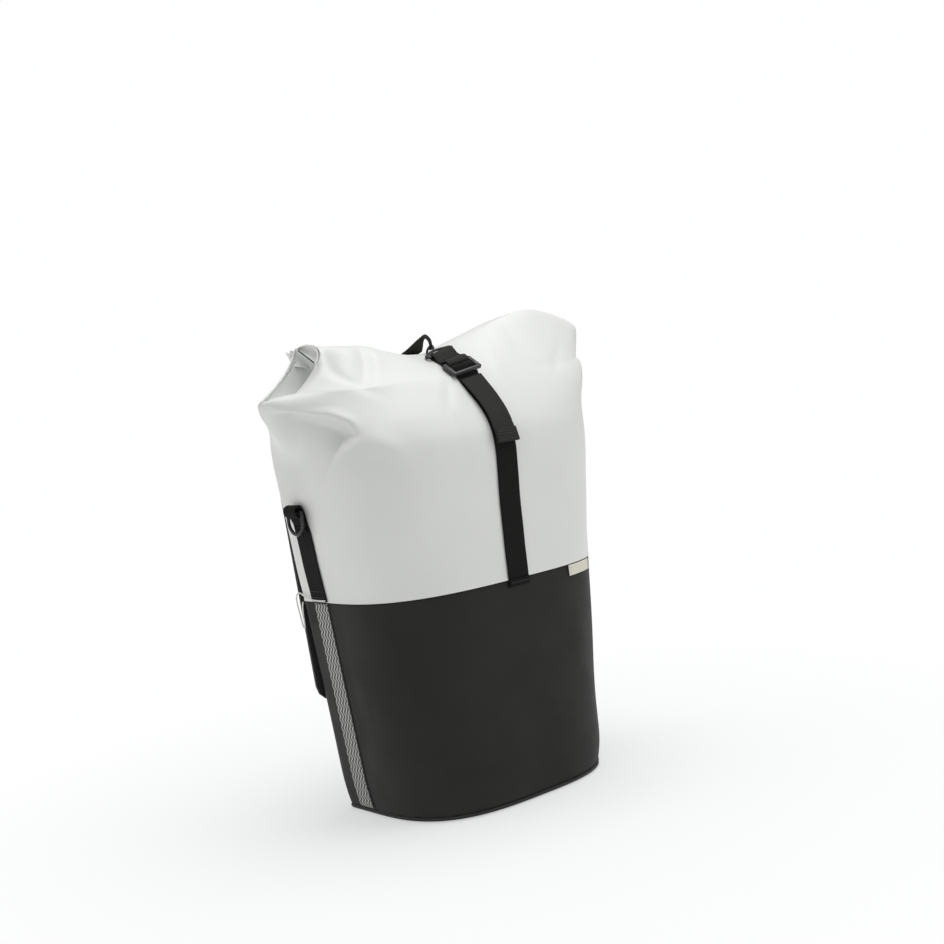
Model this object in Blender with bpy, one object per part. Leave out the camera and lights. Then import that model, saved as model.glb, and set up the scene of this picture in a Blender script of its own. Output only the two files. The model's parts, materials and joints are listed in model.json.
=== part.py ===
"""A roll-top pannier bag: its shells, boards, rails, rack hooks, closure strap, rings and trim.

Metres, +Z up. +X runs along the bag's width, -Y is the outer face with the strap and +Y is the back
with the rack hooks. The origin is the middle of the flat bottom.
"""

import math

import bmesh
import bpy
import numpy as np
from mathutils import Matrix, Vector

# The bag's body.
BOTTOM_HALF_WIDTH = 0.123
SEAM_HALF_WIDTH = 0.142
SEAM_HEIGHT = 0.210
BACK_Y = 0.079
FRONT_Y = -0.0785
STRAIGHT_SIDE = 0.046
BOW = 3.06  # exponent of the front's superellipse
FLAT_SHARE = 0.6  # the middle share of the front whose points are evenly spaced
CORNER = 0.012
WALL = 0.0016
GAP = 0.0003
MOUTH_HEIGHT = 0.408

# Sections above the seam: height, half width, front y, back y.
UPPER_SECTIONS = (
    (SEAM_HEIGHT + GAP, SEAM_HALF_WIDTH, FRONT_Y, BACK_Y),
    (0.250, 0.147, -0.0790, BACK_Y),
    (0.290, 0.151, -0.0805, BACK_Y),
    (0.325, 0.155, -0.0830, BACK_Y),
    (0.350, 0.160, -0.0810, 0.0780),
    (0.372, 0.166, -0.0700, 0.0740),
    (0.392, 0.173, -0.0540, 0.0670),
    (MOUTH_HEIGHT, 0.178, -0.0400, 0.0580),
)

# The rolled mouth: how its depth and height grow, and the ridge line along its length.
ROLL_STEPS = ((0.0, 1.0), (0.35, 0.93), (0.65, 0.80), (0.86, 0.60), (0.96, 0.40), (1.0, 0.18))
ROLL_TAPER = 0.04  # how much shorter the roll is at its ridge
STRAP_PRESS = (0.008, 0.075, 0.045)  # how far the strap flattens the front, where that ends, and its fade
RIDGE = (
    (-0.178, 0.448), (-0.100, 0.442), (-0.020, 0.4275), (0.020, 0.4275),
    (0.070, 0.446), (0.140, 0.461), (0.178, 0.442),
)
ROLL_CENTRE_Y = 0.014
STIFFENER = (0.330, 0.0012, 0.012)  # length, thickness, height
STIFFENER_Z = 0.4110

# Boards and bottom.
BACK_BOARD = (0.224, 0.0020, 0.310)
BACK_BOARD_Z = 0.012
BACK_PLATE_HALF_WIDTH = (0.135, 0.147)  # at its foot and at its top
BACK_PLATE_Z = (0.108, 0.330)
BACK_PLATE_T = 0.003
BOTTOM_T = 0.0025
BOTTOM_BOARD_T = 0.002
PIPING_R = 0.0016
PIPING_Z = 0.0026

# Rails: half length, height, and the y of each layer, counted from the back plate's face.
RAIL_HALF_LENGTH = 0.118
RAIL_Z = 0.301
RAIL_HEIGHT = 0.030
LOWER_RAIL_Z = 0.143
LOWER_RAIL_HEIGHT = 0.026
RAIL_BASE_Y = BACK_Y + GAP + BACK_PLATE_T + GAP
RAIL_WEB = 0.002
RAIL_DEPTH = 0.008
RAIL_LIP = 0.002
RAIL_SLOT = 0.011
SLIDE_GAP = 0.0004
CAP_LENGTH = 0.006
SCREW_R = 0.0020
SCREW_HEAD_R = 0.0045
SCREW_HEAD_T = 0.0018
RAIL_SCREW_X = (-0.104, -0.035, 0.035, 0.104)
LOWER_SCREW_X = (-0.104, 0.104)

# Rack hooks.
HOOK_X = 0.070
HOOK_WIDTH = 0.034
HOOK_PLATE_Y = RAIL_BASE_Y + RAIL_DEPTH + SLIDE_GAP
HOOK_PLATE_T = 0.004
PLATE_OUT = HOOK_PLATE_Y + HOOK_PLATE_T
SLIDER_HEAD = 0.0095  # half the height of the T-shaped foot in the rail
HOOK_TOP_Z = 0.338
HOOK_BOTTOM_Z = 0.264
CHANNEL_TOP_Z = 0.3205
CHANNEL_WIDTH = 0.0164
HOOK_LIP_T = 0.005
HOOK_LIP_Z = 0.300
INSERT_T = 0.0018
PIVOT_X = 0.011
PIVOT_Z = 0.288
LATCH_T = 0.008
LATCH_TOP_Z = 0.3030
PIN_R = 0.0020
PIN_HEAD_R = 0.0038
PIN_HEAD_T = 0.0016
SPRING_ROOM = 0.0042  # between the latch and its pin's head
SPRING_R = 0.0030
SPRING_WIRE_R = 0.0004
SPRING_TURNS = 3
CUT_PAST = 0.001  # how far a cutter runs past the face it opens

# Lower anti-sway hook.
SWAY_WIDTH = 0.030
SWAY_GAP = 0.019
SWAY_BASE_T = 0.0055
SWAY_LIP_T = 0.0035
SWAY_HEIGHT = 0.018
SWAY_SINK = 0.0026  # the screw head's recess

# Webbing, buckle and hook.
WEB = 0.025
WEB_T = 0.0014
STRAP_TAB = (0.0128, 0.0024, 0.0065, 0.0012)  # half width, thickness, and its reach below and above the seam
FRONT_PATH = (
    (-0.0785, 0.2125), (-0.0792, 0.250), (-0.0806, 0.290), (-0.0831, 0.320), (-0.0832, 0.337),
    (-0.0805, 0.353), (-0.0725, 0.370), (-0.0620, 0.385), (-0.0530, 0.396), (-0.0460, 0.4040),
)
TAIL_PATH = (
    (-0.0895, 0.3390), (-0.0868, 0.3420), (-0.0857, 0.350), (-0.0778, 0.3685),
    (-0.0670, 0.3845), (-0.0570, 0.3965), (-0.0510, 0.4022),
)
BUCKLE_CENTRE = (-0.0420, 0.4130)  # y, z
BUCKLE_SLOPE = 32  # degrees above level, towards the back
BUCKLE = (0.034, 0.020, 0.0040)  # width, length along the strap, thickness
BUCKLE_SLOT = (0.0262, 0.0056)
HOOK_BAR = (-0.0130, 0.4335)  # y, z of the hook's webbing bar
HOOK_PLATE = (0.0310, 0.0024)
HOOK_SHOULDER = 0.0062
HOOK_REACH = 0.0215
HOOK_BAR_R = 0.0016
HOOK_WINDOW = (0.0130, 0.0016, 0.0056)  # half width, and where it starts and ends from the bar's middle
EYE_R = 0.0050
EYE_HOLE_R = 0.0033
BAND_R = 0.0026  # inner radius of the short webbing round its bars

# Side webbing and rings.
SIDE_Y = 0.0420
LOOP_WEB = 0.020
RING_Z = 0.2985
RING_OUT = 0.0058
RING_WIRE_R = 0.0016
RING_WIDTH = 0.0240
RING_DROP = 0.0215
STRIP_WIDTH = 0.023
STRIP_Z = (0.0062, 0.2092)
STRIP_T = 0.0005
LABEL_X = (0.068, 0.107)
LABEL_HEIGHT = 0.0105
LABEL_T = 0.0005
LABEL_AWAY = 0.0008

# The thin cord loop at the side seam.
CORD_R = 0.0007
CORD_ROUTE = (
    (-0.1462, 0.0285, 0.2128), (-0.1466, 0.0350, 0.2127), (-0.1467, 0.0425, 0.2127),
    (-0.1463, 0.0500, 0.2128), (-0.1456, 0.0575, 0.2133), (-0.1452, 0.0645, 0.2155),
    (-0.1455, 0.0705, 0.2182), (-0.1464, 0.0742, 0.2180), (-0.1472, 0.0760, 0.2145),
    (-0.1473, 0.0760, 0.2090), (-0.1470, 0.0752, 0.2020), (-0.1464, 0.0745, 0.1950),
    (-0.1460, 0.0738, 0.1890), (-0.1458, 0.0725, 0.1850), (-0.1459, 0.0706, 0.1845),
    (-0.1462, 0.0694, 0.1880), (-0.1465, 0.0690, 0.1940), (-0.1466, 0.0688, 0.2000),
    (-0.1464, 0.0684, 0.2060), (-0.1460, 0.0674, 0.2100),
)

COLOURS = {
    "light_tarpaulin": ((0.66, 0.69, 0.68), 0.45, 0.0),
    "dark_tarpaulin": ((0.035, 0.036, 0.034), 0.5, 0.0),
    "black_board": ((0.015, 0.015, 0.015), 0.6, 0.0),
    "aluminium": ((0.45, 0.46, 0.47), 0.35, 1.0),
    "black_plastic": ((0.012, 0.012, 0.012), 0.4, 0.0),
    "grey_insert": ((0.12, 0.12, 0.12), 0.7, 0.0),
    "steel": ((0.5, 0.5, 0.5), 0.3, 1.0),
    "black_webbing": ((0.018, 0.018, 0.018), 0.8, 0.0),
    "reflective": ((0.35, 0.35, 0.34), 0.4, 0.0),
    "cream_label": ((0.75, 0.71, 0.60), 0.7, 0.0),
    "dark_metal": ((0.08, 0.08, 0.08), 0.35, 1.0),
    "pale_cord": ((0.62, 0.60, 0.52), 0.8, 0.0),
    "black_piping": ((0.010, 0.010, 0.010), 0.5, 0.0),
}


def clear_scene():
    for obj in list(bpy.data.objects):
        bpy.data.objects.remove(obj, do_unlink=True)


def material(name):
    found = bpy.data.materials.get(name)
    if found:
        return found
    colour, roughness, metallic = COLOURS[name]
    made = bpy.data.materials.new(name)
    made.use_nodes = True
    shader = made.node_tree.nodes["Principled BSDF"]
    shader.inputs["Base Color"].default_value = (*colour, 1.0)
    shader.inputs["Roughness"].default_value = roughness
    shader.inputs["Metallic"].default_value = metallic
    return made


def place(name, mesh, finish, origin=(0, 0, 0), sharp=35):
    """An object whose mesh was made in world coordinates, with its origin moved to a joint or a centre."""
    mesh.transform(Matrix.Translation(-Vector(origin)))
    mesh.shade_smooth()
    mesh.set_sharp_from_angle(angle=math.radians(sharp))
    mesh.materials.append(material(finish))
    obj = bpy.data.objects.new(name, mesh)
    obj.location = origin
    bpy.context.collection.objects.link(obj)
    return obj


def mesh_of(name, points, faces):
    mesh = bpy.data.meshes.new(name)
    mesh.from_pydata([tuple(p) for p in points], [], faces)
    work = bmesh.new()
    work.from_mesh(mesh)
    bmesh.ops.recalc_face_normals(work, faces=work.faces)
    work.to_mesh(mesh)
    work.free()
    return mesh


def ring_faces(first, second, count):
    """Quads between two rings of points that start at these numbers."""
    faces = []
    for i in range(count):
        j = (i + 1) % count
        faces.append((first + i, first + j, second + j, second + i))
    return faces


def solid_loft(name, rings, finish, origin=(0, 0, 0), sharp=35, strip_cap=False):
    """A closed solid through rings of points. A strip cap joins the long sides of a top that isn't flat."""
    count = len(rings[0])
    points = [p for ring in rings for p in ring]
    faces = [tuple(range(count - 1, -1, -1))]
    for step in range(len(rings) - 1):
        faces += ring_faces(step * count, (step + 1) * count, count)
    last = (len(rings) - 1) * count
    if strip_cap:
        for i in range(count // 2 - 1):
            left, right = last + i, last + count - 1 - i
            faces.append((left, left + 1, right - 1, right))
    else:
        faces.append(tuple(range(last, last + count)))
    return place(name, mesh_of(name, points, faces), finish, origin, sharp)


def shell_loft(name, outer, inner, finish, closed_bottom):
    """A thin wall between two stacks of rings, open at the top and open or floored at the bottom."""
    count = len(outer[0])
    points = [p for ring in outer + inner for p in ring]
    start = len(outer) * count
    faces = []
    for step in range(len(outer) - 1):
        faces += ring_faces(step * count, (step + 1) * count, count)
    for step in range(len(inner) - 1):
        faces += ring_faces(start + (step + 1) * count, start + step * count, count)
    faces += ring_faces((len(outer) - 1) * count, start + (len(inner) - 1) * count, count)
    if closed_bottom:
        faces.append(tuple(range(count - 1, -1, -1)))
        faces.append(tuple(range(start, start + count)))
    else:
        faces += ring_faces(start, 0, count)
    return place(name, mesh_of(name, points, faces), finish)


def box(name, low, high, finish, origin=(0, 0, 0)):
    """A closed box between two corners."""
    (x0, y0, z0), (x1, y1, z1) = low, high
    rings = [[(x0, y0, z), (x1, y0, z), (x1, y1, z), (x0, y1, z)] for z in (z0, z1)]
    return solid_loft(name, rings, finish, origin)


def extruded(name, profile, axis, low, high, finish, origin=(0, 0, 0)):
    """A flat outline of the two other coordinates, in x, y, z order, extruded along one axis."""
    def point(pair, at):
        values = list(pair)
        values.insert(axis, at)
        return tuple(values)
    rings = [[point(pair, at) for pair in profile] for at in (low, high)]
    return solid_loft(name, rings, finish, origin)


def disc(centre, axis, radius, at, sides=16):
    """A ring of points round a line along one axis, at one place on it."""
    points = []
    for i in range(sides):
        angle = 2 * math.pi * i / sides
        pair = [radius * math.cos(angle), radius * math.sin(angle)]
        pair.insert(axis, 0.0)
        point = [c + d for c, d in zip(centre, pair)]
        point[axis] = at
        points.append(tuple(point))
    return points


def turned(name, centre, axis, steps, finish, sides=16):
    """A stepped round piece: steps are (place along the axis, radius)."""
    rings = [disc(centre, axis, radius, at, sides) for at, radius in steps]
    return solid_loft(name, rings, finish)


def cut(target, cutter):
    cutter.hide_render = True
    cutter.display_type = "WIRE"
    hole = target.modifiers.new("cut_" + cutter.name, "BOOLEAN")
    hole.object = cutter
    hole.operation = "DIFFERENCE"
    hole.solver = "EXACT"


def cylinder_cutter(name, centre, axis, radius, low, high, sides=16):
    return turned(name, centre, axis, ((low, radius), (high, radius)), "steel", sides)


def outline(half_width, front, back, height, straight=STRAIGHT_SIDE, corner=CORNER):
    """The bag's D-shaped section as a ring, anticlockwise from above, starting on the right side."""
    share = (back - front) / (BACK_Y - FRONT_Y)
    side_y = back - straight * share
    corner = corner * share
    middle = [FLAT_SHARE * (step / 6 - 1) for step in range(13)]
    points = [(half_width, side_y)]
    for sign, start in ((1, 0), (-1, 90)):
        for step in range(4):
            angle = math.radians(start + 30 * step)
            x = sign * (half_width - corner) + corner * math.cos(angle)
            points.append((x, back - corner + corner * math.sin(angle)))
        if sign == 1:
            points += [(-half_width * share_x, back) for share_x in middle]
    points.append((-half_width, side_y))
    turn = math.acos(FLAT_SHARE ** (BOW / 2))
    left = [-math.cos(turn * step / 5) ** (2 / BOW) for step in range(1, 5)]
    for share_x in left + middle + [-share_x for share_x in reversed(left)]:
        depth = (1 - abs(share_x) ** BOW) ** (1 / BOW)
        points.append((half_width * share_x, side_y - (side_y - front) * depth))
    return [(x, y, height) for x, y in points]


def inset(half_width, front, back, height, by=WALL):
    return outline(half_width - by, front + by, back - by, height, STRAIGHT_SIDE - by, CORNER - by)


def half_width_at(z):
    """The bag's half width at a height."""
    heights = [0.0] + [s[0] for s in UPPER_SECTIONS]
    widths = [BOTTOM_HALF_WIDTH] + [s[1] for s in UPPER_SECTIONS]
    return float(np.interp(z, heights, widths))


def lower_shell():
    levels = [(0.0, BOTTOM_HALF_WIDTH), (0.07, None), (0.14, None), (SEAM_HEIGHT, SEAM_HALF_WIDTH)]
    outer = [outline(w or half_width_at(z), FRONT_Y, BACK_Y, z) for z, w in levels]
    inner = [inset(w or half_width_at(z), FRONT_Y, BACK_Y, max(z, BOTTOM_T)) for z, w in levels]
    return shell_loft("lower_shell", outer, inner, "dark_tarpaulin", closed_bottom=True)


def upper_shell():
    outer = [outline(w, front, back, z) for z, w, front, back in UPPER_SECTIONS]
    inner = [inset(w, front, back, z) for z, w, front, back in UPPER_SECTIONS]
    return shell_loft("upper_shell", outer, inner, "light_tarpaulin", closed_bottom=False)


def roll_top():
    """The flattened and rolled mouth: a ridge that dips in the middle, with a slot for its stiffener."""
    _, half_width, front, back = UPPER_SECTIONS[-1]
    base = MOUTH_HEIGHT + GAP
    ring = outline(half_width, front, back, base)
    pressed, press_end, press_width = STRAP_PRESS
    rings = []
    for height, depth in ROLL_STEPS:
        level = []
        for x, y, _ in ring:
            ridge = float(np.interp(x, *zip(*RIDGE)))
            level_y = ROLL_CENTRE_Y + (y - ROLL_CENTRE_Y) * depth
            if y < ROLL_CENTRE_Y:
                press = min(max((press_end - abs(x)) / press_width, 0), 1)
                level_y += pressed * press * math.sin(math.pi * height)
            level.append((x * (1 - ROLL_TAPER * height), level_y, base + (ridge - base) * height))
        rings.append(level)
    roll = solid_loft("roll_top", rings, "light_tarpaulin", strip_cap=True)
    _, thickness, height = STIFFENER
    through = 2 * half_width
    low = (-through, ROLL_CENTRE_Y - thickness / 2 - GAP, STIFFENER_Z - GAP)
    high = (through, ROLL_CENTRE_Y + thickness / 2 + GAP, STIFFENER_Z + height + GAP)
    cut(roll, box("stiffener_slot", low, high, "steel"))
    return roll


def mouth_stiffener():
    length, thickness, height = STIFFENER
    low = (-length / 2, ROLL_CENTRE_Y - thickness / 2, STIFFENER_Z)
    high = (length / 2, ROLL_CENTRE_Y + thickness / 2, STIFFENER_Z + height)
    return box("mouth_stiffener", low, high, "black_board")


def tube(name, points, radius, finish, closed=False, resolution=2, origin=(0, 0, 0)):
    """A round wire or cord along a row of points."""
    curve = bpy.data.curves.new(name, "CURVE")
    curve.dimensions = "3D"
    curve.bevel_depth = radius
    curve.bevel_resolution = resolution
    curve.use_fill_caps = True
    line = curve.splines.new("POLY")
    line.points.add(len(points) - 1)
    for spot, point in zip(line.points, points):
        spot.co = (*(Vector(point) - Vector(origin)), 1.0)
    line.use_cyclic_u = closed
    curve.materials.append(material(finish))
    obj = bpy.data.objects.new(name, curve)
    obj.location = origin
    bpy.context.collection.objects.link(obj)
    return obj


def smooth(points, count):
    """A row of evenly numbered points on a smooth curve through these points."""
    points = [Vector(p) for p in points]
    padded = [2 * points[0] - points[1]] + points + [2 * points[-1] - points[-2]]
    made = []
    for step in range(count):
        place_on = step / (count - 1) * (len(points) - 1)
        i = min(int(place_on), len(points) - 2)
        t = place_on - i
        a, b, c, d = padded[i:i + 4]
        square = 2 * a - 5 * b + 4 * c - d
        cube = 3 * b - a - 3 * c + d
        made.append(0.5 * (2 * b + (c - a) * t + square * t ** 2 + cube * t ** 3))
    return made


def bottom_piping():
    out = PIPING_R + GAP
    ring = outline(BOTTOM_HALF_WIDTH + out, FRONT_Y - out, BACK_Y + out, PIPING_Z)
    return tube("bottom_piping", ring, PIPING_R, "black_piping", closed=True)


def bottom_board():
    by = WALL + 2 * GAP
    rings = [inset(BOTTOM_HALF_WIDTH, FRONT_Y, BACK_Y - BACK_BOARD[1] - GAP, z, by)
             for z in (BOTTOM_T + GAP, BOTTOM_T + GAP + BOTTOM_BOARD_T)]
    return solid_loft("bottom_board", rings, "black_board")


def rounded(half_width, low, high, radius, steps=3):
    """The outline of a plate with round corners, as (x, z) pairs."""
    points = []
    for sx, z, start in ((1, high, 0), (-1, high, 90), (-1, low, 180), (1, low, 270)):
        cz = z - radius if z == high else z + radius
        for step in range(steps + 1):
            angle = math.radians(start + 90 * step / steps)
            x = sx * (half_width - radius) + radius * math.cos(angle)
            points.append((x, cz + radius * math.sin(angle)))
    return points


def boards():
    width, thickness, height = BACK_BOARD
    inside = BACK_Y - WALL - GAP
    outline_in = rounded(width / 2, BACK_BOARD_Z, BACK_BOARD_Z + height, 0.012)
    inner = extruded("back_board", outline_in, 1, inside - thickness, inside, "black_board")
    foot, top = BACK_PLATE_HALF_WIDTH
    low, high = BACK_PLATE_Z
    outline_out = []
    for x, z in rounded(foot, low, high, 0.016):
        outline_out.append((x * (1 + (top / foot - 1) * (z - low) / (high - low)), z))
    start = BACK_Y + GAP
    outer = extruded("back_plate", outline_out, 1, start, start + BACK_PLATE_T, "black_board")
    return inner, outer


def rail_profile(z, height):
    """A C-shaped channel, as (y, z) pairs, open away from the bag."""
    y0, y1 = RAIL_BASE_Y, RAIL_BASE_Y + RAIL_DEPTH
    low, high = z - height / 2, z + height / 2
    wall = RAIL_LIP
    return [
        (y0, low), (y1, low), (y1, z - RAIL_SLOT / 2), (y1 - RAIL_LIP, z - RAIL_SLOT / 2),
        (y1 - RAIL_LIP, low + wall), (y0 + RAIL_WEB, low + wall), (y0 + RAIL_WEB, high - wall),
        (y1 - RAIL_LIP, high - wall), (y1 - RAIL_LIP, z + RAIL_SLOT / 2), (y1, z + RAIL_SLOT / 2),
        (y1, high), (y0, high),
    ]


def rail(name, cap_name, z, height):
    made = extruded(name, rail_profile(z, height), 0, -RAIL_HALF_LENGTH, RAIL_HALF_LENGTH, "aluminium")
    for side, sign in (("left", -1), ("right", 1)):
        near, far = sorted((sign * (RAIL_HALF_LENGTH + GAP), sign * (RAIL_HALF_LENGTH + GAP + CAP_LENGTH)))
        low = (near, RAIL_BASE_Y, z - height / 2)
        high = (far, RAIL_BASE_Y + RAIL_DEPTH, z + height / 2)
        cap = box(cap_name + side, low, high, "black_plastic")
        bevel = cap.modifiers.new("rounding", "BEVEL")
        bevel.width = 0.0018
        bevel.segments = 2
    return made


def through_screws(prefix, places, z, drilled):
    """Screws with their heads inside the bag, through the back wall and boards into a rail's web."""
    head_y = BACK_Y - WALL - GAP - BACK_BOARD[1] - GAP
    end = RAIL_BASE_Y + RAIL_WEB - GAP
    for number, x in enumerate(places, 1):
        steps = (
            (head_y - SCREW_HEAD_T, SCREW_HEAD_R * 0.8), (head_y - SCREW_HEAD_T / 2, SCREW_HEAD_R),
            (head_y, SCREW_HEAD_R), (head_y, SCREW_R), (end, SCREW_R),
        )
        centre = (x, 0, z)
        turned(f"{prefix}_{number}", centre, 1, steps, "steel", 12)
        low, high = head_y - CUT_PAST, end + 2 * CUT_PAST
        hole = cylinder_cutter(f"{prefix}_hole_{number}", centre, 1, SCREW_R + GAP, low, high, 12)
        for node in drilled:
            cut(node, hole)


def slider_profile(z, plate_low, plate_high):
    """A foot inside a rail, its neck and the plate outside it: two runs of (y, z) pairs, low and high."""
    head_in = RAIL_BASE_Y + RAIL_WEB + SLIDE_GAP
    head_out = RAIL_BASE_Y + RAIL_DEPTH - RAIL_LIP - SLIDE_GAP
    neck = RAIL_SLOT / 2 - SLIDE_GAP
    low = [
        (head_in, z - SLIDER_HEAD), (head_out, z - SLIDER_HEAD), (head_out, z - neck),
        (HOOK_PLATE_Y, z - neck), (HOOK_PLATE_Y, plate_low), (PLATE_OUT, plate_low),
    ]
    high = [
        (PLATE_OUT, plate_high), (HOOK_PLATE_Y, plate_high), (HOOK_PLATE_Y, z + neck),
        (head_out, z + neck), (head_out, z + SLIDER_HEAD), (head_in, z + SLIDER_HEAD),
    ]
    return low, high


def rack_hook(side, sign):
    """One rack hook: a T-foot in the rail and a channel that drops over the rack's tube."""
    lip_in = PLATE_OUT + CHANNEL_WIDTH
    lip_out = lip_in + HOOK_LIP_T
    lower, upper = slider_profile(RAIL_Z, HOOK_BOTTOM_Z, HOOK_TOP_Z)
    channel = [
        (PLATE_OUT, CHANNEL_TOP_Z), (lip_in, CHANNEL_TOP_Z), (lip_in, HOOK_LIP_Z + 0.003),
        (lip_in + 0.002, HOOK_LIP_Z), (lip_out, HOOK_LIP_Z), (lip_out, HOOK_TOP_Z - 0.008),
        (lip_out - 0.003, HOOK_TOP_Z - 0.003), (lip_out - 0.008, HOOK_TOP_Z),
    ]
    x = sign * HOOK_X
    half = HOOK_WIDTH / 2
    profile = lower + channel + upper[1:]
    centre = (x, HOOK_PLATE_Y, RAIL_Z)
    hook = extruded(f"rack_hook_{side}", profile, 0, x - half, x + half, "black_plastic", centre)
    pivot = (x + PIVOT_X, 0, PIVOT_Z)
    low, high = HOOK_PLATE_Y - CUT_PAST, PLATE_OUT + CUT_PAST
    cut(hook, cylinder_cutter(f"pin_hole_{side}", pivot, 1, PIN_R + GAP, low, high))
    return hook


def tube_insert(side, sign):
    """The soft liner that narrows a hook's channel to a thinner rack tube."""
    y0, y1 = PLATE_OUT + GAP, PLATE_OUT + CHANNEL_WIDTH - GAP
    top = CHANNEL_TOP_Z - GAP
    foot = HOOK_LIP_Z + 0.0035
    profile = [
        (y0, foot), (y0 + INSERT_T, foot), (y0 + INSERT_T, top - INSERT_T), (y1 - INSERT_T, top - INSERT_T),
        (y1 - INSERT_T, foot), (y1, foot), (y1, top), (y0, top),
    ]
    x = sign * HOOK_X
    half = HOOK_WIDTH / 2 - 0.001
    return extruded(f"tube_insert_{side}", profile, 0, x - half, x + half, "grey_insert", (x, y0, top))


def latch(side, sign):
    """The sprung finger that closes the channel from below, on its pin, with its coil spring."""
    x = sign * HOOK_X + PIVOT_X
    y0 = PLATE_OUT + GAP
    y1 = y0 + LATCH_T
    outline_xz = [
        (x - 0.024, LATCH_TOP_Z - 0.0035), (x - 0.0225, LATCH_TOP_Z), (x - 0.003, LATCH_TOP_Z),
        (x + 0.0035, PIVOT_Z + 0.0095), (x + 0.0050, PIVOT_Z + 0.0030), (x + 0.0045, PIVOT_Z - 0.0040),
        (x - 0.0010, PIVOT_Z - 0.0065), (x - 0.0060, PIVOT_Z - 0.0045), (x - 0.0075, PIVOT_Z + 0.0010),
        (x - 0.0085, LATCH_TOP_Z - 0.0065), (x - 0.0150, LATCH_TOP_Z - 0.0050),
    ]
    centre = (x, y0, PIVOT_Z)
    finger = extruded(f"latch_{side}", outline_xz, 1, y0, y1, "black_plastic", centre)
    hole = cylinder_cutter(f"latch_hole_{side}", centre, 1, PIN_R + GAP, y0 - CUT_PAST, y1 + CUT_PAST)
    cut(finger, hole)
    head_y = y1 + SPRING_ROOM
    steps = (
        (HOOK_PLATE_Y + GAP, PIN_R), (head_y, PIN_R),
        (head_y, PIN_HEAD_R), (head_y + PIN_HEAD_T, PIN_HEAD_R),
    )
    turned(f"latch_pin_{side}", centre, 1, steps, "steel", 16)
    coil = []
    sides = 12
    start = y1 + SPRING_WIRE_R + GAP
    length = SPRING_ROOM - 2 * (SPRING_WIRE_R + GAP)
    for step in range(SPRING_TURNS * sides + 1):
        angle = 2 * math.pi * step / sides
        along = start + length * step / (SPRING_TURNS * sides)
        coil.append((x + SPRING_R * math.cos(angle), along, PIVOT_Z + SPRING_R * math.sin(angle)))
    tube(f"latch_spring_{side}", coil, SPRING_WIRE_R, "steel", resolution=1)
    return finger


def anti_sway():
    """The lower hook: a slider in its rail and a swivelling claw that goes round the rack's strut."""
    z = LOWER_RAIL_Z
    lower, upper = slider_profile(z, z - LOWER_RAIL_HEIGHT / 2, z + LOWER_RAIL_HEIGHT / 2)
    half = SWAY_WIDTH / 2
    centre = (0, HOOK_PLATE_Y, z)
    slider = extruded("anti_sway_slider", lower + upper, 0, -half, half, "black_plastic", centre)
    base_y = PLATE_OUT + GAP
    face_y = base_y + SWAY_BASE_T
    lip_y = face_y + SWAY_GAP
    out_y = lip_y + SWAY_LIP_T
    claw_outline = [
        (-0.013, base_y), (0.013, base_y), (0.0135, lip_y), (0.0110, out_y), (-0.0180, out_y),
        (-0.0200, lip_y - 0.0010), (-0.0180, lip_y - 0.0022), (0.0060, lip_y), (0.0095, lip_y - 0.0035),
        (0.0095, face_y), (-0.013, face_y),
    ]
    pivot = (0, base_y, z)
    low, high = z - SWAY_HEIGHT / 2, z + SWAY_HEIGHT / 2
    claw = extruded("anti_sway_hook", claw_outline, 2, low, high, "black_plastic", pivot)
    sink_y = face_y - SWAY_SINK
    end = face_y + CUT_PAST
    hole = cylinder_cutter("sway_hole", pivot, 1, SCREW_R + GAP, HOOK_PLATE_Y - CUT_PAST, end, 12)
    sink = cylinder_cutter("sway_sink", pivot, 1, SCREW_HEAD_R + GAP, sink_y, end, 12)
    cut(claw, hole)
    cut(claw, sink)
    cut(slider, hole)
    head_y = sink_y + GAP
    steps = (
        (HOOK_PLATE_Y + GAP, SCREW_R), (head_y, SCREW_R),
        (head_y, SCREW_HEAD_R), (face_y - GAP, SCREW_HEAD_R),
    )
    turned("anti_sway_screw", (0, 0, z), 1, steps, "steel", 12)


def ribbon(name, path, finish, lift):
    """A flat strap along (y, z) points. Lift is its inner face's height over the path."""
    spots = [Vector((0, y, z)) for y, z in path]
    rings = []
    for i, spot in enumerate(spots):
        along = (spots[min(i + 1, len(spots) - 1)] - spots[max(i - 1, 0)]).normalized()
        out = Vector((1, 0, 0)).cross(along)
        across = Vector((WEB / 2, 0, 0))
        near, far = spot + out * lift, spot + out * (lift + WEB_T)
        rings.append([near - across, near + across, far + across, far - across])
    return solid_loft(name, rings, finish)


def front_straps():
    ribbon("front_strap", smooth_pairs(FRONT_PATH, 17), "black_webbing", 2 * GAP)
    ribbon("strap_tail", smooth_pairs(TAIL_PATH, 13), "black_webbing", GAP)
    half_width, thickness, below, above = STRAP_TAB
    low = (-half_width, FRONT_Y - GAP - thickness, SEAM_HEIGHT - below)
    high = (half_width, FRONT_Y - GAP, SEAM_HEIGHT + above)
    box("strap_tab", low, high, "black_webbing")


def smooth_pairs(pairs, count):
    return [(p.y, p.z) for p in smooth([(0, y, z) for y, z in pairs], count)]


def tilted(local, centre, slope):
    """A point given as (across, along the strap, out of it), set at a slope round a (y, z) centre."""
    across, along, out = local
    angle = math.radians(slope)
    y = centre[0] + along * math.cos(angle) - out * math.sin(angle)
    z = centre[1] + along * math.sin(angle) + out * math.cos(angle)
    return (across, y, z)


def tilted_box(name, low, high, centre, slope, finish, origin=(0, 0, 0)):
    (x0, a0, o0), (x1, a1, o1) = low, high
    rings = []
    for out in (o0, o1):
        corners = ((x0, a0, out), (x1, a0, out), (x1, a1, out), (x0, a1, out))
        rings.append([tilted(corner, centre, slope) for corner in corners])
    return solid_loft(name, rings, finish, origin)


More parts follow.
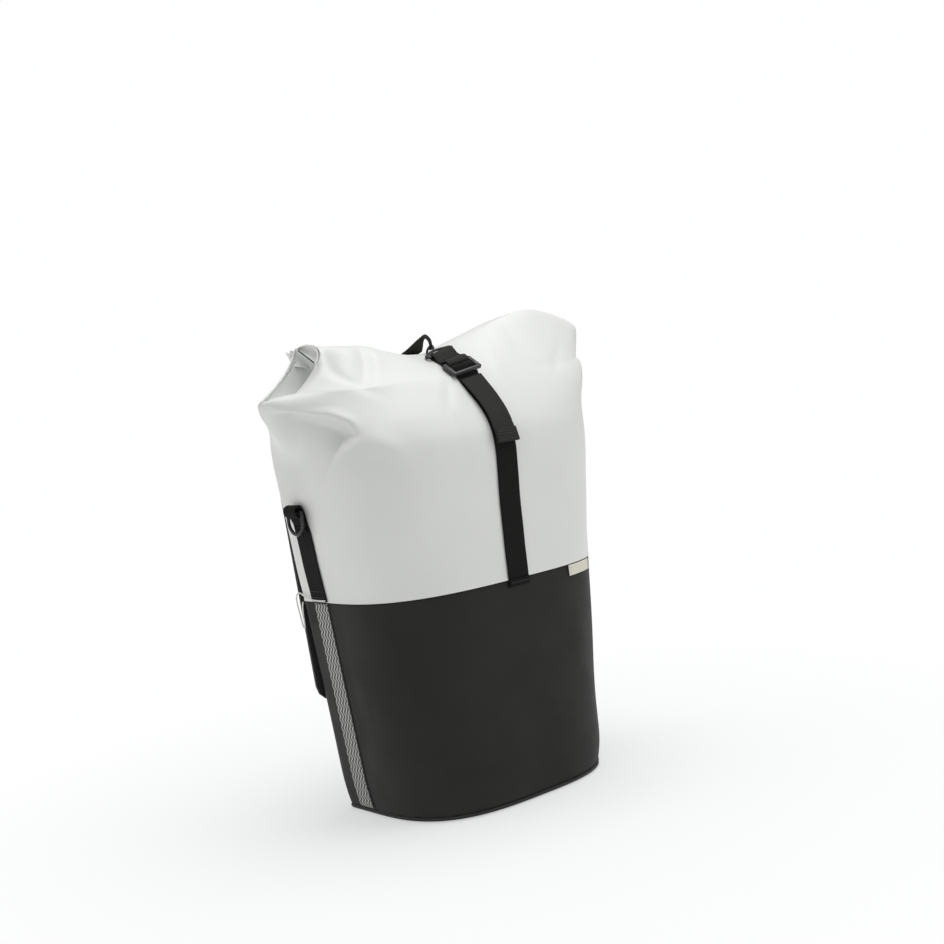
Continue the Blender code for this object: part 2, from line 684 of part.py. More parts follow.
def buckle():
    """The three-bar buckle, which the short webbing holds by its far bar."""
    width, length, thickness = BUCKLE
    low, high = (-width / 2, -length / 2, -thickness / 2), (width / 2, length / 2, thickness / 2)
    frame = tilted_box("ladder_buckle", low, high, BUCKLE_CENTRE, BUCKLE_SLOPE, "black_plastic")
    slot_width, slot_length = BUCKLE_SLOT
    for number, along in enumerate((-0.0042, 0.0042)):
        low = (-slot_width / 2, along - slot_length / 2, -0.01)
        high = (slot_width / 2, along + slot_length / 2, 0.01)
        cut(frame, tilted_box(f"buckle_slot_{number}", low, high, BUCKLE_CENTRE, BUCKLE_SLOPE, "steel"))
    return frame


def band_ring(centres, radius, at_x, steps=5):
    """A taut band's section round two bars, given as (y, z) centres, at one x."""
    (y0, z0), (y1, z1) = centres
    heading = math.atan2(z1 - z0, y1 - y0)
    points = []
    for (y, z), start in (((y0, z0), heading + math.pi / 2), ((y1, z1), heading - math.pi / 2)):
        for step in range(steps + 1):
            angle = start + math.pi * step / steps
            points.append((at_x, y + radius * math.cos(angle), z + radius * math.sin(angle)))
    return points


def buckle_webbing():
    """The short loop of doubled webbing between the buckle's far bar and the hook's bar."""
    far_bar = tilted((0, BUCKLE[1] / 2 - 0.0015, 0), BUCKLE_CENTRE, BUCKLE_SLOPE)[1:]
    centres = (far_bar, HOOK_BAR)
    inside, outside = BAND_R, BAND_R + WEB_T
    half = WEB / 2
    corners = ((-half, outside), (half, outside), (half, inside), (-half, inside))
    rings = [band_ring(centres, radius, x) for x, radius in corners]
    count = len(rings[0])
    points = [p for ring in rings for p in ring]
    faces = []
    for step in range(4):
        faces += ring_faces(step * count, (step + 1) % 4 * count, count)
    return place("buckle_webbing", mesh_of("buckle_webbing", points, faces), "black_webbing")


def strap_hook():
    """The flat hook: a bar for the webbing, two cheeks that draw together, and a round eye."""
    width, thickness = HOOK_PLATE
    half = width / 2
    middle = HOOK_REACH - EYE_R
    plan = [(-half, -HOOK_BAR_R), (-half, HOOK_SHOULDER)]
    for step in range(13):
        angle = math.radians(-100 + 200 * step / 12)
        plan.append((EYE_R * math.sin(angle), middle + EYE_R * math.cos(angle)))
    plan += [(half, HOOK_SHOULDER), (half, -HOOK_BAR_R)]
    rings = []
    for out in (-thickness / 2, thickness / 2):
        rings.append([tilted((x, along, out), HOOK_BAR, 0) for x, along in plan])
    hook = solid_loft("strap_hook", rings, "dark_metal", (0, *HOOK_BAR))
    eye_y, bar_z = HOOK_BAR[0] + middle, HOOK_BAR[1]
    eye_hole = cylinder_cutter("eye_hole", (0, eye_y, 0), 2, EYE_HOLE_R, bar_z - 0.01, bar_z + 0.01)
    half_window, window_start, window_end = HOOK_WINDOW
    low, high = (-half_window, window_start, -0.01), (half_window, window_end, 0.01)
    window = tilted_box("hook_window", low, high, HOOK_BAR, 0, "steel")
    cut(hook, eye_hole)
    cut(hook, window)
    return hook


def band_rings(spots, sizes, across):
    """A flat band's sections along these spots. Each size is its (width, thickness)."""
    rings = []
    for i, (width, thickness) in enumerate(sizes):
        along = (spots[min(i + 1, len(spots) - 1)] - spots[max(i - 1, 0)]).normalized()
        out = across.cross(along).normalized() * thickness / 2
        side = across * width / 2
        spot = spots[i]
        rings.append([spot - side - out, spot + side - out, spot + side + out, spot - side + out])
    return rings


def closure_loop():
    """Webbing from behind the roll, folded narrow into a standing loop whose front strand is in the eye."""
    eye_y = HOOK_BAR[0] + HOOK_REACH - EYE_R
    up_the_back = (
        (0.0812, 0.3360), (0.0805, 0.3520), (0.0768, 0.3720), (0.0702, 0.3920),
        (0.0630, 0.4080), (0.0592, 0.4180), (0.0535, 0.4265), (0.0440, 0.4312),
    )
    folding = (
        (0.0340, 0.4335, 0.0240, 0.0015), (0.0260, 0.4372, 0.0170, 0.0018), (0.0185, 0.4418, 0.0100, 0.0022),
        (0.0130, 0.4450, 0.0055, 0.0024), (eye_y + 0.0026, 0.4452, 0.0036, 0.0024),
        (eye_y + 0.0002, 0.4420, 0.0030, 0.0024), (eye_y, 0.4370, 0.0028, 0.0024),
        (eye_y, 0.4312, 0.0028, 0.0024),
    )
    route = [(y, z, WEB, WEB_T) for y, z in up_the_back] + list(folding)
    spots = [Vector((0, y, z)) for y, z, _, _ in route]
    sizes = [(width, thickness) for _, _, width, thickness in route]
    return solid_loft("closure_loop", band_rings(spots, sizes, Vector((1, 0, 0))), "black_webbing")


def side_webbing(side, sign):
    """Webbing up the side from the seam, folded over the ring's bar and sewn back on itself."""
    first = 2 * GAP + WEB_T / 2
    second = first + WEB_T + GAP
    out = RING_OUT
    wide = ((first, SEAM_HEIGHT + 0.0015), (first, 0.250), (first, 0.282))
    narrow = (
        (first, 0.2950), (0.0032, RING_Z + 0.0045), (out, RING_Z + 0.0058), (out + 0.0040, RING_Z + 0.0040),
        (out + 0.0055, RING_Z), (out + 0.0038, RING_Z - 0.0040), (out - 0.0010, RING_Z - 0.0058),
        (second + 0.0014, RING_Z - 0.0080), (second, RING_Z - 0.0120), (second, RING_Z - 0.0200),
    )
    spots = [Vector((sign * (half_width_at(z) + away), SIDE_Y, z)) for away, z in wide + narrow]
    sizes = [(WEB, WEB_T)] * len(wide) + [(LOOP_WEB, WEB_T)] * len(narrow)
    return solid_loft(f"side_webbing_{side}", band_rings(spots, sizes, Vector((0, 1, 0))), "black_webbing")


def d_ring(side, sign):
    x = sign * (half_width_at(RING_Z) + RING_OUT)
    half = RING_WIDTH / 2
    straight = RING_DROP - half
    points = [(x, SIDE_Y + half, RING_Z), (x, SIDE_Y, RING_Z), (x, SIDE_Y - half, RING_Z)]
    for step in range(13):
        angle = math.pi * step / 12
        points.append((x, SIDE_Y - half * math.cos(angle), RING_Z - straight - half * math.sin(angle)))
    pivot = (x, SIDE_Y, RING_Z)
    return tube(f"d_ring_{side}", points, RING_WIRE_R, "dark_metal", closed=True, origin=pivot)


def reflective_strip(side, sign):
    """The tape sewn up the lower shell's side, from the piping to the seam."""
    rings = []
    y0, y1 = SIDE_Y - STRIP_WIDTH / 2, SIDE_Y + STRIP_WIDTH / 2
    for z in STRIP_Z:
        x0 = sign * (half_width_at(z) + GAP)
        x1 = x0 + sign * STRIP_T
        rings.append([(x0, y0, z), (x1, y0, z), (x1, y1, z), (x0, y1, z)])
    return solid_loft(f"reflective_strip_{side}", rings, "reflective")


def seam_label():
    """A small folded label, blank, that follows the bag's curved front under the seam."""
    def surface(x, away, z):
        side_y = BACK_Y - STRAIGHT_SIDE
        w, depth = half_width_at(z) + away, side_y - FRONT_Y + away
        return (x, side_y - depth * (1 - (x / w) ** BOW) ** (1 / BOW), z)
    x0, x1 = LABEL_X
    top = SEAM_HEIGHT - 2 * GAP
    low = top - LABEL_HEIGHT
    near, far = LABEL_AWAY, LABEL_AWAY + LABEL_T
    corners = ((near, low), (far, low), (far, top), (near, top))
    rings = []
    for step in range(9):
        x = x0 + (x1 - x0) * step / 8
        rings.append([surface(x, away, z) for away, z in corners])
    return solid_loft("seam_label", rings, "cream_label")


def tag_cord():
    return tube("tag_cord", smooth(CORD_ROUTE, 72), CORD_R, "pale_cord")


def main():
    clear_scene()
    lower = lower_shell()
    upper = upper_shell()
    roll_top()
    mouth_stiffener()
    bottom_piping()
    bottom_board()
    inner_board, outer_plate = boards()
    top_rail = rail("hook_rail", "rail_cap_", RAIL_Z, RAIL_HEIGHT)
    low_rail = rail("lower_rail", "lower_rail_cap_", LOWER_RAIL_Z, LOWER_RAIL_HEIGHT)
    behind = (inner_board, outer_plate)
    through_screws("rail_screw", RAIL_SCREW_X, RAIL_Z, (upper, *behind, top_rail))
    through_screws("lower_rail_screw", LOWER_SCREW_X, LOWER_RAIL_Z, (lower, *behind, low_rail))
    anti_sway()
    front_straps()
    buckle()
    buckle_webbing()
    strap_hook()
    closure_loop()
    for side, sign in (("left", -1), ("right", 1)):
        rack_hook(side, sign)
        tube_insert(side, sign)
        latch(side, sign)
        side_webbing(side, sign)
        d_ring(side, sign)
        reflective_strip(side, sign)
    seam_label()
    tag_cord()


main()
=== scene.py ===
"""A roll-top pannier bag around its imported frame: soft shells, webbing, trim and the finish of each part.

Metres, +Z up. +X runs along the bag's width, -Y is the outer face with the strap and +Y is the back.
"""

import json
import math

import bmesh
import bpy
import numpy as np
from mathutils import Matrix, Vector, noise

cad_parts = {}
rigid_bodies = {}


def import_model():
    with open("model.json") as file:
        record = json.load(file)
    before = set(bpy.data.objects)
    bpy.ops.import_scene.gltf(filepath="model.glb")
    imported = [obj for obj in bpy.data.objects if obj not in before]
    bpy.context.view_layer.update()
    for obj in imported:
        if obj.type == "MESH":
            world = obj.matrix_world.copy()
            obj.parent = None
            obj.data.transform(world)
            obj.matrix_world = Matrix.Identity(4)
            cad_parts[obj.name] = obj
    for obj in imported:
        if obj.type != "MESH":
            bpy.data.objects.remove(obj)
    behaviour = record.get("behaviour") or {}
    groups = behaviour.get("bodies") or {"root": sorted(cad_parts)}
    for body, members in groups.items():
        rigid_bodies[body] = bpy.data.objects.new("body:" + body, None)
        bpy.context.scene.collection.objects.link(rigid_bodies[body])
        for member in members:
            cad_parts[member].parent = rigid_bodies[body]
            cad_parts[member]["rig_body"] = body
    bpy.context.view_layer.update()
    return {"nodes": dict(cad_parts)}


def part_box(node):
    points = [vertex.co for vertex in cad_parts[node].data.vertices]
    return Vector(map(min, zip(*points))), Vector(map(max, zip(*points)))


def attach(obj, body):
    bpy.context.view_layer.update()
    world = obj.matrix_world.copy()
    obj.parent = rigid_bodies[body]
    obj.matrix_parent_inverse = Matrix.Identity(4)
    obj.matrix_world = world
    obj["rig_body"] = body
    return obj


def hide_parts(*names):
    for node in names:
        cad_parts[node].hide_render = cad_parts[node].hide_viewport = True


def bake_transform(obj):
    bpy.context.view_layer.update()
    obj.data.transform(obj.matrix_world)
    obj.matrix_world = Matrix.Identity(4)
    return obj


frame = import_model()
NODES = frame["nodes"]

# The bag's body, as the frame has it.
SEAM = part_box("lower_shell")[1].z
BACK_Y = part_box("lower_shell")[1].y
FRONT_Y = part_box("lower_shell")[0].y
BOTTOM_HALF_WIDTH = 0.123
SEAM_HALF_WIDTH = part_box("lower_shell")[1].x
STRAIGHT_SIDE = 0.046
BOW = 3.06
CORNER = 0.012
MOUTH_Z = 0.404
SIDE_Y = 0.042
WEB = 0.025
WEB_T = 0.0014

CAMERA_AT = Vector((-0.8405, -1.0708, 0.4058))
CAMERA_AZIMUTH = -38.94
CAMERA_ELEVATION = 4.03
CAMERA_ROLL = -7.27
CAMERA_LENS = 53.39

CORD_R = 0.0007
CORD_ROUTE = (
    (-0.1462, 0.0285, 0.2128), (-0.1466, 0.0350, 0.2127), (-0.1467, 0.0425, 0.2127),
    (-0.1463, 0.0500, 0.2128), (-0.1456, 0.0575, 0.2133), (-0.1452, 0.0645, 0.2155),
    (-0.1455, 0.0705, 0.2182), (-0.1464, 0.0742, 0.2180), (-0.1472, 0.0760, 0.2145),
    (-0.1473, 0.0760, 0.2090), (-0.1470, 0.0752, 0.2020), (-0.1464, 0.0745, 0.1950),
    (-0.1460, 0.0738, 0.1890), (-0.1458, 0.0725, 0.1850), (-0.1459, 0.0706, 0.1845),
    (-0.1462, 0.0694, 0.1880), (-0.1465, 0.0690, 0.1940), (-0.1466, 0.0688, 0.2000),
    (-0.1464, 0.0684, 0.2060), (-0.1460, 0.0674, 0.2100),
)


# ---------------------------------------------------------------- curves and meshes

def smooth_path(points, count):
    """Evenly numbered points on a smooth curve through these points."""
    pts = np.array(points, float)
    padded = np.vstack([2 * pts[0] - pts[1], pts, 2 * pts[-1] - pts[-2]])
    spots = np.linspace(0, len(pts) - 1, count)
    first = np.minimum(spots.astype(int), len(pts) - 2)
    t = (spots - first)[:, None]
    a, b, c, d = (padded[first + k] for k in range(4))
    square = 2 * a - 5 * b + 4 * c - d
    cube = 3 * b - a - 3 * c + d
    return 0.5 * (2 * b + (c - a) * t + square * t ** 2 + cube * t ** 3)


def resample(points, count):
    """The same line with this many points, evenly spaced along it."""
    pts = np.array(points, float)
    along = travelled_along(pts)
    wanted = np.linspace(0, along[-1], count)
    return np.stack([np.interp(wanted, along, pts[:, k]) for k in range(pts.shape[1])], axis=1)


def smoothstep(low, high, value):
    t = np.clip((np.asarray(value, float) - low) / (high - low), 0, 1)
    return t * t * (3 - 2 * t)


def bell(value, centre, width):
    return np.exp(-((np.asarray(value, float) - centre) / width) ** 2)


def mesh_object(name, points, faces, uvs=None, sharp=None):
    """An object of these points and faces. The uvs are one pair for each point, in metres."""
    mesh = bpy.data.meshes.new(name)
    mesh.from_pydata([tuple(map(float, p)) for p in points], [], [tuple(map(int, f)) for f in faces])
    if uvs is not None:
        layer = mesh.uv_layers.new(name="UVMap")
        corners = np.zeros(len(mesh.loops), np.int32)
        mesh.loops.foreach_get("vertex_index", corners)
        layer.data.foreach_set("uv", np.array(uvs, np.float32)[corners].ravel())
    mesh.shade_smooth()
    if sharp is not None:
        mesh.set_sharp_from_angle(angle=math.radians(sharp))
    return link_object(name, mesh)


def grid_faces(rows, columns, closed, start=0):
    """Quads over rows of points, facing outward when the rows rise and the columns turn anticlockwise."""
    faces = []
    for i in range(rows - 1):
        for j in range(columns if closed else columns - 1):
            k = (j + 1) % columns
            low, high = start + i * columns, start + (i + 1) * columns
            faces.append((low + j, low + k, high + k, high + j))
    return faces


def apply_modifiers(obj):
    """Turns the object's evaluated mesh into its own mesh."""
    graph = bpy.context.evaluated_depsgraph_get()
    made = bpy.data.meshes.new_from_object(obj.evaluated_get(graph))
    obj.modifiers.clear()
    obj.data = made


def join_points(parts):
    """Several (points, faces, uvs) as one."""
    points, faces, uvs = [], [], []
    for some, quads, pairs in parts:
        start = len(points)
        points += [tuple(p) for p in some]
        uvs += [tuple(u) for u in pairs]
        faces += [tuple(start + k for k in quad) for quad in quads]
    return points, faces, uvs


def unit(vectors):
    """These vectors, or one vector, at length 1."""
    vectors = np.array(vectors, float)
    return vectors / np.linalg.norm(vectors, axis=-1, keepdims=True)


def travelled_along(points):
    """How far each point is along the line through them."""
    steps = np.linalg.norm(np.diff(points, axis=0), axis=1)
    return np.concatenate([[0], np.cumsum(steps)])


def arc(centre, radius, start, end, count):
    """Points of an arc in a plane, between two angles in degrees."""
    turn = np.radians(np.linspace(start, end, count))
    return np.array(centre) + radius * np.column_stack([np.cos(turn), np.sin(turn)])


def link_object(name, data):
    obj = bpy.data.objects.new(name, data)
    bpy.context.scene.collection.objects.link(obj)
    return obj


def finish_piece(obj, body, finish, slot_name, *replaced):
    """Gives a new piece its material and its body, and hides the CAD nodes that it stands for. The slot's
    name is not used.
    """
    obj.data.materials.clear()
    obj.data.materials.append(finish)
    if body is not None:
        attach(obj, body)
    if replaced:
        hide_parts(*replaced)
    return obj


def make_piece(name, parts, finish, slot_name, *replaced, body="bag"):
    """A finished piece of several (points, faces, uvs)."""
    made = mesh_object(name, *join_points(parts))
    return finish_piece(made, body, finish, slot_name, *replaced)


# ---------------------------------------------------------------- material building

SPAN_SOCKETS = ("From Min", "From Max", "To Min", "To Max")


class Finish:
    """A material's node tree, built by short calls."""

    def __init__(self, name, colour, roughness, metallic=0.0, **sockets):
        self.made = bpy.data.materials.new(name)
        self.made.use_nodes = True
        self.tree = self.made.node_tree
        self.shader = self.tree.nodes["Principled BSDF"]
        self.shader.inputs["Base Color"].default_value = (*colour, 1)
        self.shader.inputs["Roughness"].default_value = roughness
        self.shader.inputs["Metallic"].default_value = metallic
        for socket, value in sockets.items():
            self.shader.inputs[socket.replace("_", " ")].default_value = value
        self.place = self.tree.nodes.new("ShaderNodeTexCoord")

    def link(self, source, target):
        self.tree.links.new(source, target)
        return target

    def node(self, kind, **values):
        made = self.tree.nodes.new(kind)
        for name, value in values.items():
            setattr(made, name, value)
        return made

    def where(self, space="Object", stretch=(1, 1, 1)):
        """Coordinates in metres, stretched along each axis."""
        mapping = self.node("ShaderNodeMapping")
        mapping.inputs["Scale"].default_value = stretch
        self.link(self.place.outputs[space], mapping.inputs["Vector"])
        return mapping.outputs["Vector"]

    def noise(self, vector, scale, detail=2.0, roughness=0.5):
        made = self.node("ShaderNodeTexNoise")
        made.inputs["Scale"].default_value = scale
        made.inputs["Detail"].default_value = detail
        made.inputs["Roughness"].default_value = roughness
        self.link(vector, made.inputs["Vector"])
        return made.outputs["Fac"]

    def math(self, kind, first, second=None, third=None):
        made = self.node("ShaderNodeMath", operation=kind)
        for spot, value in enumerate((first, second, third)):
            if value is None:
                continue
            if isinstance(value, (int, float)):
                made.inputs[spot].default_value = value
            else:
                self.link(value, made.inputs[spot])
        return made.outputs[0]

    def span(self, value, low, high, out_low, out_high):
        made = self.node("ShaderNodeMapRange")
        made.clamp = True
        self.link(value, made.inputs["Value"])
        for name, number in zip(SPAN_SOCKETS, (low, high, out_low, out_high)):
            made.inputs[name].default_value = number
        return made.outputs["Result"]

    def axes(self, vector):
        """The vector's three parts."""
        made = self.node("ShaderNodeSeparateXYZ")
        self.link(vector, made.inputs[0])
        return made.outputs

    def edge(self, low, high, most=1.0):
        """How much a place is a worn outer edge."""
        return self.span(self.node("ShaderNodeNewGeometry").outputs["Pointiness"], low, high, 0.0, most)

    def wave(self, value, pitch):
        """A sine that repeats after this many metres."""
        return self.math("SINE", self.math("MULTIPLY", value, 2 * math.pi / pitch))

    def blend(self, share, first, second):
        """A colour between two colours."""
        made = self.node("ShaderNodeMix", data_type="RGBA")
        self.link(share, made.inputs["Factor"])
        for spot, value in (("A", first), ("B", second)):
            socket = [s for s in made.inputs if s.name == spot and s.type == "RGBA"][0]
            if isinstance(value, tuple):
                socket.default_value = (*value, 1)
            else:
                self.link(value, socket)
        return [s for s in made.outputs if s.type == "RGBA"][0]

    def colour(self, value):
        self.link(value, self.shader.inputs["Base Color"])

    def rough(self, value):
        self.link(value, self.shader.inputs["Roughness"])

    def bump(self, height, distance, strength=1.0, below=None):
        made = self.node("ShaderNodeBump")
        made.inputs["Distance"].default_value = distance
        made.inputs["Strength"].default_value = strength
        self.link(height, made.inputs["Height"])
        if below is not None:
            self.link(below, made.inputs["Normal"])
        return made.outputs["Normal"]

    def normal(self, value):
        self.link(value, self.shader.inputs["Normal"])


# The scrim's threads, in radians per metre.
SCRIM = 5200.0


def tarpaulin(name, colour, shade, roughness, gloss):
    """Coated fabric: a fine leathery grain, a faint woven scrim under it, and uneven gloss."""
    made = Finish(name, colour, roughness, Specular_IOR_Level=gloss)
    spot = made.where()
    cloudy = made.noise(spot, 9.0, 3.0)
    made.colour(made.blend(made.span(cloudy, 0.35, 0.65, 0.0, 1.0), colour, shade))
    made.rough(made.span(made.noise(spot, 32.0, 3.0), 0.3, 0.7, roughness - 0.05, roughness + 0.07))
    x, y, z = made.axes(spot)
    across = made.math("SINE", made.math("MULTIPLY", made.math("ADD", x, y), SCRIM))
    upright = made.math("SINE", made.math("MULTIPLY", z, SCRIM))
    woven = made.bump(made.math("MULTIPLY", across, upright), 0.00002, 0.35)
    grain = made.bump(made.noise(spot, 1500.0, 3.0, 0.6), 0.00006, 0.35, woven)
    made.normal(made.bump(made.noise(spot, 60.0, 2.0), 0.00035, 0.35, grain))
    return made.made


YARN_PITCH, RIB_PITCH = 0.00125, 0.00105


def webbing_finish(name, colour, light):
    """Flat woven webbing: ribs across it, a chevron of yarns and a little fluff."""
    made = Finish(name, colour, 0.82, Specular_IOR_Level=0.12, Sheen_Weight=0.02, Sheen_Roughness=0.5)
    spot = made.where("UV")
    across, along, _ = made.axes(spot)
    yarn = made.wave(across, YARN_PITCH)
    zigzag = made.math("MULTIPLY", made.math("PINGPONG", across, YARN_PITCH), 0.9)
    rib = made.wave(made.math("ADD", along, zigzag), RIB_PITCH)
    weave = made.math("ADD", made.math("MULTIPLY", yarn, 0.45), made.math("MULTIPLY", rib, 0.55))
    fluff = made.noise(spot, 2600.0, 2.0)
    tone = made.math("ADD", made.span(weave, -1, 1, 0.0, 0.55), made.math("MULTIPLY", fluff, 0.35))
    made.colour(made.blend(tone, colour, light))
    made.rough(made.span(fluff, 0.3, 0.7, 0.70, 0.88))
    made.normal(made.bump(weave, 0.00022, 0.8, made.bump(fluff, 0.00006, 0.5)))
    return made.made


def thread_finish():
    made = Finish("thread", (0.020, 0.020, 0.020), 0.6, Sheen_Weight=0.1)
    spot = made.where()
    made.normal(made.bump(made.noise(spot, 4200.0, 2.0), 0.00006, 0.6))
    made.colour(made.blend(made.noise(spot, 900.0), (0.012, 0.012, 0.012), (0.035, 0.035, 0.034)))
    return made.made


def moulded_plastic(name, colour, worn, roughness):
    """Injection-moulded plastic with a fine spark-eroded grain and slightly paler edges."""
    made = Finish(name, colour, roughness, Specular_IOR_Level=0.45)
    spot = made.where()
    wear = made.math("MULTIPLY", made.edge(0.53, 0.60), made.noise(spot, 220.0, 3.0))
    made.colour(made.blend(wear, colour, worn))
    made.rough(made.span(made.noise(spot, 120.0, 3.0), 0.3, 0.7, roughness - 0.06, roughness + 0.08))
    made.normal(made.bump(made.noise(spot, 900.0, 2.0), 0.00005, 0.5))
    return made.made


def board_finish():
    """Extruded polyethylene board with faint lengthwise drawing lines."""
    made = Finish("board", (0.016, 0.016, 0.016), 0.55, Specular_IOR_Level=0.35)
    lines = made.noise(made.where(stretch=(1, 1, 60)), 30.0, 2.0)
    fine = made.noise(made.where(), 1100.0, 2.0)
    made.colour(made.blend(lines, (0.013, 0.013, 0.013), (0.024, 0.024, 0.024)))
    made.rough(made.span(fine, 0.3, 0.7, 0.48, 0.66))
    made.normal(made.bump(fine, 0.00004, 0.5, made.bump(lines, 0.00008, 0.4)))
    return made.made


def anodised(name, colour):
    """Black anodised extrusion: fine lines along its length and paler, rubbed edges."""
    made = Finish(name, colour, 0.36, 0.85)
    lines = made.noise(made.where(stretch=(4, 320, 320)), 6.0, 3.0)
    rubbed = made.math("MULTIPLY", made.edge(0.54, 0.62), made.noise(made.where(), 160.0, 3.0))
    made.colour(made.blend(rubbed, colour, (0.30, 0.30, 0.31)))
    made.rough(made.span(lines, 0.3, 0.7, 0.28, 0.46))
    made.normal(made.bump(lines, 0.00003, 0.4))
    return made.made


def metal(name, colour, roughness, metallic=1.0):
    """Plated or lacquered metal with soft scuffs."""
    made = Finish(name, colour, roughness, metallic, Coat_Weight=0.25, Coat_Roughness=0.2)
    spot = made.where()
    scuff = made.noise(made.where(stretch=(1, 1, 5)), 260.0, 4.0)
    pale = tuple(min(1.0, 3.2 * c) for c in colour)
    made.colour(made.blend(made.math("MULTIPLY", made.edge(0.53, 0.62, 0.8), scuff), colour, pale))
    made.rough(made.span(scuff, 0.3, 0.7, roughness - 0.08, roughness + 0.14))
    made.normal(made.bump(made.noise(spot, 700.0, 2.0), 0.00003, 0.4))
    return made.made


def soft_insert():
    made = Finish("soft_insert", (0.11, 0.11, 0.115), 0.72, Specular_IOR_Level=0.3)
    spot = made.where()
    made.colour(made.blend(made.noise(spot, 90.0, 3.0), (0.10, 0.10, 0.105), (0.15, 0.15, 0.15)))
    made.normal(made.bump(made.noise(spot, 1400.0, 2.0), 0.00006, 0.6))
    return made.made


def label_cloth():
    """Blank woven label: fine warp lines and a soft edge."""
    made = Finish("label_cloth", (0.74, 0.70, 0.60), 0.8, Sheen_Weight=0.15)
    across, along, _ = made.axes(made.where("UV"))
    weave = made.math("MULTIPLY", made.wave(across, 0.0005), made.wave(along, 0.0006))
    tone = made.span(weave, -1, 1, 0.0, 1.0)
    made.colour(made.blend(tone, (0.66, 0.62, 0.52), (0.78, 0.75, 0.66)))
    made.normal(made.bump(weave, 0.00008, 0.6))
    return made.made


def braided(name, colour, dark):
    """A thin braided cord, its strands crossing round it."""
    made = Finish(name, colour, 0.75, Sheen_Weight=0.2)
    spot = made.where()
    strands = made.noise(spot, 2400.0, 2.0)
    made.colour(made.blend(strands, dark, colour))
    made.normal(made.bump(strands, 0.00012, 0.8))
    return made.made


def rubber_piping():
    made = Finish("rubber_piping", (0.010, 0.010, 0.010), 0.5, Specular_IOR_Level=0.4)
    fine = made.noise(made.where(), 800.0, 2.0)
    made.rough(made.span(fine, 0.3, 0.7, 0.42, 0.6))
    made.normal(made.bump(fine, 0.00005, 0.5))
    return made.made


ZIGZAG_RISE = 0.0042
ZIGZAG_SLOPE = 0.86
ZIGZAG_PITCH = 0.0046
ZIGZAG_EDGE = 0.0105


def zigzag_tape():
    """Dark tape with five upright silver zigzag lines, glass-beaded."""
    made = Finish("zigzag_tape", (0.05, 0.05, 0.048), 0.5, Specular_IOR_Level=0.5)
    spot = made.where("UV")
    across, along, _ = made.axes(spot)
    folded = made.math("SUBTRACT", made.math("PINGPONG", along, ZIGZAG_RISE), ZIGZAG_RISE / 2)
    placed = made.math("SUBTRACT", across, made.math("MULTIPLY", folded, ZIGZAG_SLOPE))
    shifted = made.math("FLOORED_MODULO", made.math("ADD", placed, ZIGZAG_PITCH / 2), ZIGZAG_PITCH)
    row = made.math("ABSOLUTE", made.math("SUBTRACT", shifted, ZIGZAG_PITCH / 2))
    line = made.span(row, 0.00050, 0.00070, 1.0, 0.0)
    far = made.math("ABSOLUTE", across)
    share = made.math("MULTIPLY", line, made.span(far, ZIGZAG_EDGE, ZIGZAG_EDGE + 0.0003, 1.0, 0.0))
    beads = made.noise(spot, 5200.0, 1.0)
    silver = made.blend(beads, (0.50, 0.50, 0.49), (0.80, 0.80, 0.78))
    made.colour(made.blend(share, (0.052, 0.053, 0.050), silver))
    made.rough(made.span(share, 0, 1, 0.55, 0.36))
    made.normal(made.bump(share, 0.00012, 0.5, made.bump(beads, 0.00004, 0.5)))
    return made.made


LIGHT_CLOTH = tarpaulin("light_coated_cloth", (0.735, 0.742, 0.724), (0.705, 0.712, 0.694), 0.42, 0.42)
DARK_CLOTH = tarpaulin("dark_coated_cloth", (0.0175, 0.0177, 0.0158), (0.0145, 0.0147, 0.0130), 0.54, 0.20)
WEBBING = webbing_finish("woven_webbing", (0.0035, 0.0035, 0.0033), (0.0125, 0.0125, 0.0115))
# A lighter copy of the webbing's colours, for the strap's tail, the buckle's loop and the loop over the roll.
LIGHTER_WEBBING = webbing_finish("lighter_webbing", (0.0125, 0.0125, 0.0118), (0.050, 0.050, 0.047))
THREAD = thread_finish()
NYLON = moulded_plastic("moulded_nylon", (0.016, 0.016, 0.017), (0.075, 0.075, 0.077), 0.40)
BOARD = board_finish()
RAIL = anodised("anodised_rail", (0.055, 0.055, 0.058))
STEEL = metal("plated_steel", (0.50, 0.50, 0.50), 0.30)
DARK_METAL = metal("lacquered_metal", (0.030, 0.030, 0.031), 0.34, 0.75)
INSERT = soft_insert()
LABEL = label_cloth()
PALE_CORD = braided("pale_braid", (0.86, 0.85, 0.82), (0.66, 0.65, 0.62))
PIPING = rubber_piping()
TAPE = zigzag_tape()


# ---------------------------------------------------------------- camera

def make_camera():
    angles = (CAMERA_AZIMUTH, CAMERA_ELEVATION, CAMERA_ROLL)
    azimuth, elevation, roll = (math.radians(angle) for angle in angles)
    level = math.cos(elevation)
    back = Vector((math.sin(azimuth) * level, -math.cos(azimuth) * level, math.sin(elevation)))
    right = (-back).cross(Vector((0, 0, 1))).normalized()
    up = right.cross(-back)
    across = math.cos(roll) * right + math.sin(roll) * up
    upward = -math.sin(roll) * right + math.cos(roll) * up
    camera = link_object("camera", bpy.data.cameras.new("camera"))
    camera.data.lens = CAMERA_LENS
    camera.data.sensor_width = 36
    camera.data.clip_start = 0.05
    camera.data.clip_end = 100
    turn = Matrix((across, upward, back)).transposed()
    camera.matrix_world = Matrix.Translation(CAMERA_AT) @ turn.to_4x4()
    bpy.context.scene.camera = camera


# ---------------------------------------------------------------- the cord at the side seam

